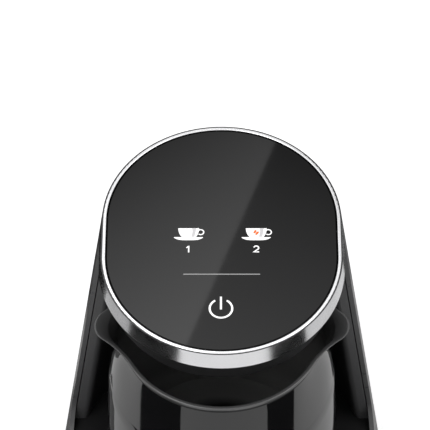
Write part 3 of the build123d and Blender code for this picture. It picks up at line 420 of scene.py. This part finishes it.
def spout_reach(angle):
    """How far the rim stands past its circle, angle radians round from the spout's tip."""
    tip_x = RIM_R + SPOUT_REACH - SPOUT_TIP_R
    rim_side = RIM_R + SPOUT_BLEND_R
    tip_side = SPOUT_TIP_R + SPOUT_BLEND_R
    on_rim = math.acos((rim_side**2 + tip_x**2 - tip_side**2) / (2 * rim_side * tip_x))
    if abs(angle) >= on_rim:
        return 0.0
    blend = Vector((math.cos(on_rim), math.sin(on_rim))) * rim_side
    on_tip = Vector((tip_x, 0)) + (blend - Vector((tip_x, 0))).normalized() * SPOUT_TIP_R
    ray = Vector((math.cos(angle), abs(math.sin(angle))))
    if abs(angle) <= math.atan2(on_tip.y, on_tip.x):
        along = ray.x * tip_x
        return along + math.sqrt(along**2 - tip_x**2 + SPOUT_TIP_R**2) - RIM_R
    along = ray.dot(blend)
    return along - math.sqrt(along**2 - blend.length_squared + SPOUT_BLEND_R**2) - RIM_R


def from_spout(angle):
    """The angle from the nearer spout's tip."""
    right = (angle + SPOUT_TURN + math.pi) % (2 * math.pi) - math.pi
    left = (angle - SPOUT_TURN) % (2 * math.pi) - math.pi
    return min(right, left, key=abs)


def neck_radius(angle, z):
    """Outside of the pot above its crease: a cone, with spouts and pinched flanks."""
    share = min(max((RIM_Z - z) / (RIM_Z - CREASE_Z), 0), 1)
    turn = from_spout(angle)
    flare = spout_reach(turn) * (1 - share) ** SPOUT_FADE
    off = (abs(turn) - PINCH_ANGLE) / PINCH_HALF
    pinch = PINCH * math.cos(off * math.pi / 2) ** 2 if abs(off) < 1 else 0
    hollow = math.sin(math.pi * share ** 0.5)     # 0 at the rim and at the crease
    return RIM_R + (CREASE_R - RIM_R) * share + flare - pinch * hollow


def inner_rim(angle, share):
    """Height and inward distance on the rim's inner rounding, which is wider in a spout."""
    opening = spout_reach(from_spout(angle)) / SPOUT_REACH
    radius = INNER_ROUND + (SPOUT_INNER_ROUND - INNER_ROUND) * opening
    turn = math.pi / 2 * share
    return RIM_Z - radius * (1 - math.cos(turn)), RIM_FLAT + radius * math.sin(turn)


def neck_height(share):
    """Height of a neck row that is this share of the steps down from NECK_TOP to the crease."""
    return NECK_TOP - (NECK_TOP - CREASE_Z) * share ** NECK_CROWDING


def pot_rows():
    """Rows of the pot from the recess under it, up the outside and down the inside."""
    side = curve([Vector(point) for point in POT_SIDE], SIDE_STEPS)[:-1]
    rows = [Row(RECESS_R, BASE_Z + RECESS_HIGH), Row(RECESS_R, BASE_Z)]
    rows += [Row(point.x, point.y) for point in side]
    for step in range(NECK_STEPS + 1):
        rows.append(Row(None, neck_height(1 - step / NECK_STEPS), BEAD_PROUD))
    for below, share in BEAD_EDGE:
        rows.append(Row(None, RIM_Z - BEAD_HIGH - below, BEAD_PROUD * share))
    for step in range(RIM_STEPS + 1):
        turn = math.pi / 2 * step / RIM_STEPS
        inward = RIM_ROUND * (1 - math.cos(turn))
        rows.append(Row(None, RIM_Z - RIM_ROUND * (1 - math.sin(turn)), inward))
    for step in range(RIM_STEPS + 1):
        rows.append(Row(None, RIM_Z, rounding=step / RIM_STEPS))
    for step in range(1, NECK_STEPS + 1):
        rows.append(Row(None, neck_height(step / NECK_STEPS), WALL + BEAD_PROUD))
    inside = [point for point in reversed(side) if point.y > FLOOR_Z + CORNER]
    rows += [Row(point.x, point.y, WALL) for point in inside]
    last = inside[-1].x - WALL
    rows += [Row(last - CORNER_CUT, FLOOR_Z + CORNER_CUT), Row(last - CORNER, FLOOR_Z)]
    return rows + [Row(last / 2, FLOOR_Z)]


def pot_lining_painted_shade():
    """Non-stick lining with painted shade: black in the middle of the bottom and paler towards the
    wall, with a grey painted by height.
    """
    shader = Shader("pot_inside")
    place = shader.vector_math("SUBTRACT", shader.object_coords(), (0, POT_Y, 0))
    flat = shader.vector_math("MULTIPLY", place, (1, 1, 0))
    distance = shader.vector_math("LENGTH", flat)
    across = shader.map_range(distance, PAINTED_SHADE_R * MM, (PAINTED_SHADE_R + PAINTED_SHADE_FADE) * MM)
    height = shader.map_range(shader.split(place)["Z"], FLOOR_Z * MM, RIM_Z * MM)
    # Painted shade: the grey by height, and a black disc in the middle of the bottom.
    wall = shader.ramp(height, [(share, grey(level)) for share, level in LINING_PAINTED_SHADE_GREYS])
    painted_bottom_shade = shader.ramp(across, [(0.0, grey(PAINTED_SHADE_GREY)), (1.0, grey(1.0))])
    blend = shader.add("ShaderNodeMix", data_type="RGBA", blend_type="MULTIPLY")
    blend.inputs["Factor"].default_value = 1.0
    shader.join(wall, blend.inputs[MIX_A])
    shader.join(painted_bottom_shade, blend.inputs[MIX_B])
    return shader.principled(
        Base_Color=blend.outputs[MIX_RESULT],
        Roughness=0.45,
        Specular_IOR_Level=0.3,
        Normal=shader.grain(LINING_GRAIN_SIZE, GRAIN_DEPTH),
    )


def pot_ring(build, row):
    """The vertices of one row round the pot."""
    ring = []
    for column in range(POT_COLUMNS):
        angle = 2 * math.pi * column / POT_COLUMNS
        height, inward = row.z, row.inward
        if row.rounding is not None:
            height, inward = inner_rim(angle, row.rounding)
        reach = (neck_radius(angle, height) if row.radius is None else row.radius) - inward
        x, y = reach * math.cos(angle), reach * math.sin(angle) + POT_BEHIND
        ring.append(build.verts.new((x * MM, y * MM + PANEL_Y, height * MM)))
    return ring


def strip_finish(row, first_rim, last_rim):
    """Which of the pot's materials covers the strip above this row."""
    if row < first_rim - PAINTED_BEAD_SHADOW_ROWS:
        return ENAMEL
    if row < first_rim:
        return PAINTED_BEAD_SHADOW
    return RIM if row < last_rim else LINING


def make_pot():
    """The pot, from the recess in its foot to the bottom of its inside."""
    build = bmesh.new()
    rows = pot_rows()
    rings = [pot_ring(build, row) for row in rows]
    rounded = [index for index, row in enumerate(rows) if row.z > NECK_TOP]
    for index, (low, high) in enumerate(zip(rings, rings[1:])):
        for column in range(POT_COLUMNS):
            after = (column + 1) % POT_COLUMNS
            face = build.faces.new((low[column], low[after], high[after], high[column]))
            face.smooth = True
            face.material_index = strip_finish(index, rounded[0], rounded[-1])
    ends = ((rings[0], BASE_Z + RECESS_HIGH, ENAMEL), (rings[-1], FLOOR_Z, LINING))
    for ring, z, finish in ends:
        middle = build.verts.new((0, POT_Y, z * MM))
        for column in range(POT_COLUMNS):
            face = build.faces.new((ring[column], ring[(column + 1) % POT_COLUMNS], middle))
            face.smooth = True
            face.material_index = finish
    finish_smooth(build, POT_SHARP)
    crease = next(index for index, row in enumerate(rows) if row.radius is None)
    ring = rings[crease]
    for column in range(POT_COLUMNS):
        build.edges.get((ring[column], ring[(column + 1) % POT_COLUMNS])).smooth = False
    pot = new_object(
        "coffee_pot",
        build,
        moulded("pot_enamel", (0.006, 0.006, 0.0065), 0.05, depth=0.000001, ior=1.6),
        pot_lining_painted_shade(),
        # Painted highlight: the rim is painted far paler than the enamel of the same coating.
        moulded("pot_rim_painted_highlight", (0.075, 0.075, 0.076), 0.15, depth=0.0, ior=1.6),
        # Painted shadow: the dark line under the bead.
        moulded("pot_painted_bead_shadow", (0.014, 0.014, 0.0142), 0.5, Specular_IOR_Level=0.2),
    )
    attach(pot, "pot")
    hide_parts("pot_body")


make_pot()


# ---- sensor spring ------------------------------------------------------------------------
def make_spring():
    """The spring again, as a piece of its own in place of the CAD one."""
    spring = bpy.data.objects.new("spring_coils", nodes["sensor_spring"].data.copy())
    scene.collection.objects.link(spring)
    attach(spring, "machine")
    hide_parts("sensor_spring")
    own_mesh(spring)


make_spring()


# ---- lines round the panel ----------------------------------------------------------------
# Sections of strips: (millimetres outwards from where the strip runs, height from the lip's top).
GLASS_LINE = [(-0.3, -0.19), (-0.3, -0.15), (0.13, -0.15), (0.13, -0.19)]
# The groove between the lip and the band, drawn as a dark strip that is painted shade, and the
# band's top edge, in line with its side.
GROOVE_LINE = [(-0.1, -0.6), (-0.1, -0.15), (0.512, -0.155), (0.512, -0.6)]
BAND_EDGE_LINE = [(0.4, -0.9), (0.4, -0.3), (0.515, -0.16), (0.7, -1.42), (0.6, -1.5)]
LIP_OUTSIDE = 1.75               # lip's outer wall from the glass's edge
CORNER_GAP = 0.1                 # corners of the glass nearer than this are one
LEVEL = 1e-6                     # metres below the glass's top that still count as it
LINE_SHARP = math.radians(25)


def glass_outline():
    """Points round the glass's top edge, in order, with the direction outwards at each."""
    vertices = nodes["glass_panel"].data.vertices
    corners = [vertex.co.copy() for vertex in vertices if vertex.co.z > GLASS_Z - LEVEL]
    corners.sort(key=lambda corner: math.atan2(corner.y - PANEL_Y, corner.x))
    points = [corners[0]]
    for corner in corners[1:]:
        if (corner - points[-1]).length > CORNER_GAP * MM:
            points.append(corner)
    out = []
    for before, point, after in zip(points[-1:] + points, points, points[1:] + points[:1]):
        along = (after - before).normalized()
        out.append((point, Vector((along.y, -along.x, 0))))
    return out


def make_line(name, section, offset, material):
    """A thin closed strip round the panel, offset millimetres outside the glass's edge."""
    build = bmesh.new()
    rings = []
    for point, outwards in glass_outline():
        ring = []
        for out, height in section:
            spot = point + outwards * (offset + out) * MM
            spot.z = PANEL.z + height * MM
            ring.append(build.verts.new(spot))
        rings.append(ring)
    for ring, after in zip(rings, rings[1:] + rings[:1]):
        for index in range(len(section)):
            beyond = (index + 1) % len(section)
            face = build.faces.new((ring[index], after[index], after[beyond], ring[beyond]))
            face.smooth = True
    finish_smooth(build, LINE_SHARP)
    line = new_object(name, build, material)
    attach(line, "machine")


seal_black = moulded("seal_black", grey(0.004), 0.9, Specular_IOR_Level=0.0)
# Painted shade: the groove is a strip of metal far darker than the chrome.
groove_painted_shade = metal("groove_painted_shade", (0.07, 0.07, 0.072), 0.3, depth=0.0)
make_line("glass_seal", GLASS_LINE, 0.0, seal_black)
make_line("lip_groove", GROOVE_LINE, LIP_OUTSIDE, groove_painted_shade)
make_line("band_edge", BAND_EDGE_LINE, LIP_OUTSIDE, ring_chrome)


# ---- panel graphics -----------------------------------------------------------------------
# Thin prints on the glass. Millimetres from the panel's middle: x to the right, y to the back.
PRINT_THICK = 0.03
PRINT_LIFT = 0.01
WELD = 0.000002                  # metres; print corners nearer than this are one
SHARPEST = 0.5                   # keeps a stroke's corners from reaching out too far
CUP_SPOTS = {"left": (-13.4, 0.0), "right": (13.85, 0.0)}
SAUCER_HALF, SAUCER_DEPTH, SAUCER_STEPS = 5.9, 1.5, 24
SAUCER_TOP, SAUCER_EDGE = 0.05, -0.42           # heights of its top and of its thin edge
SAUCER_EDGE_SHARE, SAUCER_UNDER_SHARE = 0.97, 0.95     # of its half width, at the edge and below
BOWL_SIDES = [
    [(-4.15, 4.5), (-3.95, 2.9), (-3.4, 1.2), (-2.6, 0.1)],
    [(3.0, 0.1), (3.65, 1.2), (4.15, 2.9), (4.35, 4.5)],
]
BOWL_STEPS = 5
BOWL_SHADE = [(1.5, 4.4), (1.6, 2.6), (1.1, 0.2), (2.4, 0.2), (2.9, 2.6), (3.1, 4.4)]
HANDLE_MIDDLE, HANDLE_R, HANDLE_STROKE = (4.9, 2.55), 1.25, 0.5
HANDLE_START, HANDLE_END = math.radians(-130), math.radians(140)
# Glowing marks on the right cup: middle, half length, half width and turn in degrees.
BEANS = [((-0.45, 2.75), 0.95, 0.5, 60), ((0.4, 2.0), 1.05, 0.5, 55)]
BEAN_POINTS = 40
NUMERAL_Y, NUMERAL_HIGH, NUMERAL_STROKE = -7.6, 3.2, 0.55
ONE = [(-0.75, NUMERAL_HIGH * 0.72), (0.15, NUMERAL_HIGH), (0.15, 0)]
TWO_MIDDLE, TWO_R = (0, NUMERAL_HIGH * 0.7), NUMERAL_HIGH * 0.3
TWO_START, TWO_END, TWO_STEPS = math.radians(165), math.radians(-40), 16
TWO_FOOT = [(-1.0, 0.27), (1.15, 0.27)]
LINE_Y, LINE_HALF, LINE_WIDTH = -18.4, 15.3, 0.45
POWER_MIDDLE, POWER_R, POWER_STROKE = Vector((-0.3, -35.1)), 4.45, 0.8
POWER_GAP, POWER_STEPS = math.radians(31), 72
POWER_BAR = (5.7, -0.45)
INK_CLOUD_SIZE, INK_VARIATION = 0.004, 0.06


def print_material(name, color, strength):
    """Back-printed ink that is lit a little from behind."""
    shader = Shader(name)
    base = shader.mottle(shader.noise(INK_CLOUD_SIZE), shade(color, 1 - INK_VARIATION), color)
    return shader.principled(
        Base_Color=base, Roughness=0.25, Emission_Color=base, Emission_Strength=strength
    )


INKS = {
    "white": print_material("ink_white", grey(0.92), 0.55),
    "shade": print_material("ink_shade", (0.62, 0.61, 0.62), 0.3),
    "grey": print_material("ink_grey", grey(0.4), 0.1),
    "ember": print_material("ink_ember", (0.9, 0.13, 0.02), 0.6),
}


def bean(middle, length, width, turn):
    """Outline of an oval, turned by this many degrees."""
    out = []
    for step in range(BEAN_POINTS):
        angle = 2 * math.pi * step / BEAN_POINTS
        point = Vector((length * math.cos(angle), width * math.sin(angle)))
        point.rotate(Matrix.Rotation(math.radians(turn), 2))
        out.append(Vector(middle) + point)
    return out


def arc(middle, radius, start, end, steps=48):
    """Points along an arc from one angle to another."""
    angles = [start + (end - start) * step / steps for step in range(steps + 1)]
    return [Vector(middle) + Vector((math.cos(turn), math.sin(turn))) * radius for turn in angles]


def stroke(points, width):
    """Outlines of a line of this width along points: one quad for each piece."""
    points = [Vector(point) for point in points]
    sides = []
    for before, point, after in zip(points[:1] + points, points, points[1:] + points[-1:]):
        along = (after - before).normalized()
        square = Vector((-along.y, along.x))
        ahead = (after - point).normalized() if after != point else along
        half = width / 2 / max(square.dot(Vector((-ahead.y, ahead.x))), SHARPEST)
        sides.append((point + square * half, point - square * half))
    return [[near[0], far[0], far[1], near[1]] for near, far in zip(sides, sides[1:])]


def saucer():
    """Flat top edge and a round underside that runs out to thin ends."""
    edge, under = SAUCER_HALF * SAUCER_EDGE_SHARE, SAUCER_HALF * SAUCER_UNDER_SHARE
    outline = [(SAUCER_HALF, SAUCER_TOP), (edge, SAUCER_EDGE)]
    for step in range(1, SAUCER_STEPS):
        across = math.cos(math.pi * step / SAUCER_STEPS)
        drop = (SAUCER_DEPTH + SAUCER_EDGE) * (1 - across**4)
        outline.append((under * across, SAUCER_EDGE - drop))
    return outline + [(-edge, SAUCER_EDGE), (-SAUCER_HALF, SAUCER_TOP)]


def bowl():
    """The cup's two curved sides, joined by straight lines across its top and bottom."""
    left, right = (curve([Vector(point) for point in side], BOWL_STEPS) for side in BOWL_SIDES)
    return left + right


def make_print(name, shapes, ink, level=0):
    """One print of closed flat shapes, each a thin plate; level 1 lies on top of level 0."""
    build = bmesh.new()
    low = GLASS_Z + (PRINT_LIFT + level * PRINT_THICK) * MM
    high = low + PRINT_THICK * MM
    for shape in shapes:
        rings = []
        for z in (low, high):
            rings.append([build.verts.new((x * MM, y * MM + PANEL_Y, z)) for x, y in shape])
        build.faces.new(rings[1])
        build.faces.new(rings[0][::-1])
        for index in range(len(shape)):
            after = (index + 1) % len(shape)
            corners = (rings[0][index], rings[0][after], rings[1][after], rings[1][index])
            build.faces.new(corners)
    # Where two plates of a stroke meet, the walls between them come out.
    bmesh.ops.remove_doubles(build, verts=build.verts, dist=WELD)
    inner = [face for face in build.faces if all(len(edge.link_faces) > 2 for edge in face.edges)]
    bmesh.ops.delete(build, geom=inner, context="FACES_ONLY")
    bmesh.ops.recalc_face_normals(build, faces=build.faces)
    print_piece = new_object(name, build, INKS[ink])
    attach(print_piece, "machine")


def make_graphics():
    """Two cups with their numerals, the line under them and the power symbol."""
    handle = stroke(arc(HANDLE_MIDDLE, HANDLE_R, HANDLE_START, HANDLE_END), HANDLE_STROKE)
    for side, spot in CUP_SPOTS.items():
        for name, shapes, ink, level in (
            ("saucer", [saucer()], "white", 0),
            ("bowl", [bowl()], "white", 0),
            ("handle", handle, "white", 0),
            ("bowl_shade", [BOWL_SHADE], "shade", 1),
        ):
            moved = [[Vector(point) + Vector(spot) for point in shape] for shape in shapes]
            make_print(f"cup_{name}_{side}", moved, ink, level)
    right = Vector(CUP_SPOTS["right"])
    beans = [bean(right + Vector(middle), *sizes) for middle, *sizes in BEANS]
    make_print("cup_ember_marks", beans, "ember", 1)
    two = arc(TWO_MIDDLE, TWO_R, TWO_START, TWO_END, TWO_STEPS) + TWO_FOOT
    for name, side, points in (("one", "left", ONE), ("two", "right", two)):
        spot = Vector((CUP_SPOTS[side][0], NUMERAL_Y))
        moved = [Vector(point) + spot for point in points]
        make_print(f"numeral_{name}", stroke(moved, NUMERAL_STROKE), "white")
    line = [(-LINE_HALF, LINE_Y), (LINE_HALF, LINE_Y)]
    make_print("divider_line", stroke(line, LINE_WIDTH), "grey")
    start, end = math.pi / 2 + POWER_GAP, math.pi / 2 + 2 * math.pi - POWER_GAP
    circle = arc(POWER_MIDDLE, POWER_R, start, end, POWER_STEPS)
    bar = [POWER_MIDDLE + Vector((0, height)) for height in POWER_BAR]
    make_print("power_circle", stroke(circle, POWER_STROKE), "white")
    make_print("power_bar", stroke(bar, POWER_STROKE), "white")


make_graphics()


# ---- studio -------------------------------------------------------------------------------
WORLD_LIGHT = 0.45               # the world's strength for rays that light the object
FLOOR_HALF, FLOOR_CLOUD_SIZE = 6.0, 0.4
FLOOR_GLOW = 0.55                # brings the floor to white in the camera's rays only
SKY_HEIGHT = 1.0                 # height of the soft boxes that the glass mirrors
EDGE_BACK, EDGE_FRONT = (22.03, 48.53), (-13.55, -52.23)   # their shared edge, seen in the glass
EDGE_BEYOND = 0.4                # how much of its own length that edge goes on past both points
# Each soft box: how far to the side it goes, and its strengths, seen at two points of the glass.
BOXES = {
    "box_left": (-95, ((-29.6, 38.6), 1.02), ((16.3, -23.5), 2.95)),
    "box_right": (95, ((35.5, 36.1), 0.49), ((-1.7, -53.1), 1.58)),
}
# A dimmer card just under the soft boxes, which the lip mirrors behind the glass. As seen in the
# glass, it starts at BACK_RIM_Y and lies from NEAR to FAR outside the glass's edge.
BACK_RIM_Y, BACK_RIM_GLOW = 18.0, 0.5
BACK_RIM_NEAR, BACK_RIM_FAR = 0.1, 40
BACK_RIM_DROP = 0.002            # metres
# Cards that lie just over the floor, seen only as dark and grey zones in what mirrors them, such
# as the pot and the ring: how bright each is, and its corners in millimetres.
FLAG_HEIGHT = 0.0005             # metres
FLAGS = {
    "left": (0.0, [
        (-95, -92), (-128, -78), (-150, -64), (-166, -52), (-174, -43), (-180, -32), (-185, -15),
        (-200, -25), (-236, -40), (-330, -70), (-400, -200), (-260, -420), (-190, -300),
        (-147, -222), (-126, -177), (-119, -172), (-95, -155),
    ]),
    "right": (0.0, [
        (105, -145), (129, -162), (137, -165), (165, -210), (205, -300), (300, -400),
        (420, -200), (330, -115), (235, -80), (192, -66), (188, -71), (181, -76), (172, -81),
        (164, -84), (120, -95),
    ]),
    "behind_left": (0.0, [
        (150, 1500), (-45, 140), (-100, 118), (-150, 98), (-188, 90), (-215, 110), (-400, 200),
        (-1500, 900), (-900, 1500),
    ]),
    "behind_right": (0.03, [
        (200, 1200), (68, 140), (110, 138), (124, 150), (170, 210), (700, 1000),
    ]),
    "near_left": (0.12, [
        (-78, 20), (-78, 70), (-96, 77), (-105, 77), (-112, 72), (-118, 65), (-124, 57),
        (-112, 42), (-105, 30),
    ]),
    "grey_left": (0.4, [
        (-196, -22), (-236, -39), (-330, -69), (-420, -80), (-380, 120), (-216, 108), (-190, 88),
    ]),
    "grey_right": (0.6, [(196, -66), (235, -79), (330, -113), (400, -100), (380, 140), (196, 110)]),
}
CARD_LEAST, CARD_VARIATION = 0.004, 0.03      # even a black card glows a little, and is mottled
CARD_CLOUD_SIZE = 0.05
# Each lamp: where it is, and its power in watts.
LAMPS = {"key_lamp": ((-0.9, -0.9, 1.6), 14), "fill_lamp": ((1.2, -0.4, 1.3), 8)}
LAMP_TARGET, LAMP_SIZE = (0, 0, 0.1), 1.2


def light_path_mix(tree, camera, mirrored, unseen):
    """Strength for camera rays, for glossy and transmission rays, and for the rest."""
    path = tree.nodes.new("ShaderNodeLightPath")
    larger = tree.nodes.new("ShaderNodeMath")
    larger.operation = "MAXIMUM"
    tree.links.new(path.outputs["Is Glossy Ray"], larger.inputs[0])
    tree.links.new(path.outputs["Is Transmission Ray"], larger.inputs[1])
    strength = unseen
    for weight, value in ((larger.outputs[0], mirrored), (path.outputs["Is Camera Ray"], camera)):
        mix = tree.nodes.new("ShaderNodeMix")
        tree.links.new(weight, mix.inputs["Factor"])
        if isinstance(strength, bpy.types.NodeSocket):
            tree.links.new(strength, mix.inputs["A"])
        else:
            mix.inputs["A"].default_value = strength
        mix.inputs["B"].default_value = value
        strength = mix.outputs["Result"]
    return strength


def make_world():
    """White where it is seen or mirrored, and softer as a light."""
    world = bpy.data.worlds.new("studio")
    world.use_nodes = True
    tree = world.node_tree
    background = tree.nodes["Background"]
    background.inputs["Color"].default_value = (1, 1, 1, 1)
    strength = light_path_mix(tree, 1.0, 1.0, WORLD_LIGHT)
    tree.links.new(strength, background.inputs["Strength"])
    scene.world = world


def flat_sheet(name, corners, material):
    """A flat sheet with these corners."""
    build = bmesh.new()
    build.faces.new([build.verts.new(corner) for corner in corners])
    return new_object(name, build, material)


def make_floor():
    """A pale floor that keeps the object's shadow."""
    shader = Shader("floor_pale")
    base = shader.mottle(shader.noise(FLOOR_CLOUD_SIZE), grey(0.88), grey(0.9))
    strength = light_path_mix(shader.tree, FLOOR_GLOW, 0.0, 0.0)
    material = shader.principled(
        Base_Color=base, Roughness=0.9, Emission_Color=(1, 1, 1, 1), Emission_Strength=strength
    )
    signs = ((-1, -1), (1, -1), (1, 1), (-1, 1))
    corners = [(x * FLOOR_HALF, y * FLOOR_HALF, 0) for x, y in signs]
    floor = flat_sheet("floor", corners, material)


def make_card(name, corners, material):
    """A flat card of the studio that only mirrored rays see."""
    card = flat_sheet(name, corners, material)
    for kind in ("camera", "diffuse", "transmission", "volume_scatter", "shadow"):
        setattr(card, "visible_" + kind, False)


def card_glow(name, low, high):
    """Light that rises along a soft box: low and high are (place, strength)."""
    shader = Shader(name)
    rise = high[0] - low[0]
    rise = rise / rise.length_squared
    along = shader.vector_math("DOT_PRODUCT", shader.object_coords(), rise)
    ends = low[0].dot(rise), high[0].dot(rise)
    return shader.emission(Strength=shader.map_range(along, *ends, low[1], high[1], clamp=False))


def card_grey(name, brightness):
    """A matt card whose light is the same all over, but for a faint mottling."""
    shader = Shader(name)
    high = brightness + CARD_LEAST
    low = high * (1 - CARD_VARIATION)
    cloud = shader.noise(CARD_CLOUD_SIZE)
    return shader.emission(Color=shader.mottle(cloud, grey(low), grey(high)))


def seen_in_glass(x, y):
    """The point at the soft boxes' height that the camera sees mirrored at a point of the glass."""
    eye = scene.camera.matrix_world.translation.copy()
    eye.z = 2 * GLASS_Z - eye.z
    spot = Vector((x * MM, y * MM + PANEL_Y, GLASS_Z))
    return eye + (spot - eye) * ((SKY_HEIGHT - eye.z) / (GLASS_Z - eye.z))


def back_rim_card():
    """Corners of the dimmer card, which follows the back of the glass's outline."""
    back = [(at, out) for at, out in glass_outline() if at.y - PANEL_Y > BACK_RIM_Y * MM]
    back.sort(key=lambda pair: pair[0].x)
    near = [at + out * BACK_RIM_NEAR * MM for at, out in back]
    far = [at + out * BACK_RIM_FAR * MM for at, out in back]
    points = [(at.x / MM, (at.y - PANEL_Y) / MM) for at in near + far[::-1]]
    return [seen_in_glass(*point) - Vector((0, 0, BACK_RIM_DROP)) for point in points]


def make_cards():
    """The soft boxes that the glass mirrors, and the flags that the pot and the ring mirror."""
    edge = Vector(EDGE_BACK) - Vector(EDGE_FRONT)
    edge_back = Vector(EDGE_BACK) + edge * EDGE_BEYOND
    edge_front = Vector(EDGE_FRONT) - edge * EDGE_BEYOND
    for name, (side, *ends) in BOXES.items():
        outline = [edge_back, edge_front, (side, edge_front.y), (side, edge_back.y)]
        low, high = ((seen_in_glass(*point), strength) for point, strength in ends)
        corners = [seen_in_glass(*point) for point in outline]
        make_card(name, corners, card_glow(name + "_glow", low, high))
    make_card("box_back", back_rim_card(), card_grey("card_back", BACK_RIM_GLOW))
    for name, (brightness, outline) in FLAGS.items():
        corners = [(x * MM, y * MM, FLAG_HEIGHT) for x, y in outline]
        make_card("flag_" + name, corners, card_grey("card_" + name, brightness))


def make_lamp(name, place, watts):
    """A square soft lamp that points at the machine."""
    data = bpy.data.lights.new(name, "AREA")
    data.shape = "SQUARE"
    data.size = LAMP_SIZE
    data.energy = watts
    lamp = bpy.data.objects.new(name, data)
    scene.collection.objects.link(lamp)
    lamp.location = place
    aim = Vector(LAMP_TARGET) - Vector(place)
    lamp.rotation_mode = "QUATERNION"
    lamp.rotation_quaternion = aim.to_track_quat("-Z", "Y")


make_world()
make_floor()
make_cards()
for lamp_name, (lamp_place, lamp_watts) in LAMPS.items():
    make_lamp(lamp_name, lamp_place, lamp_watts)
scene.view_settings.view_transform = "Standard"
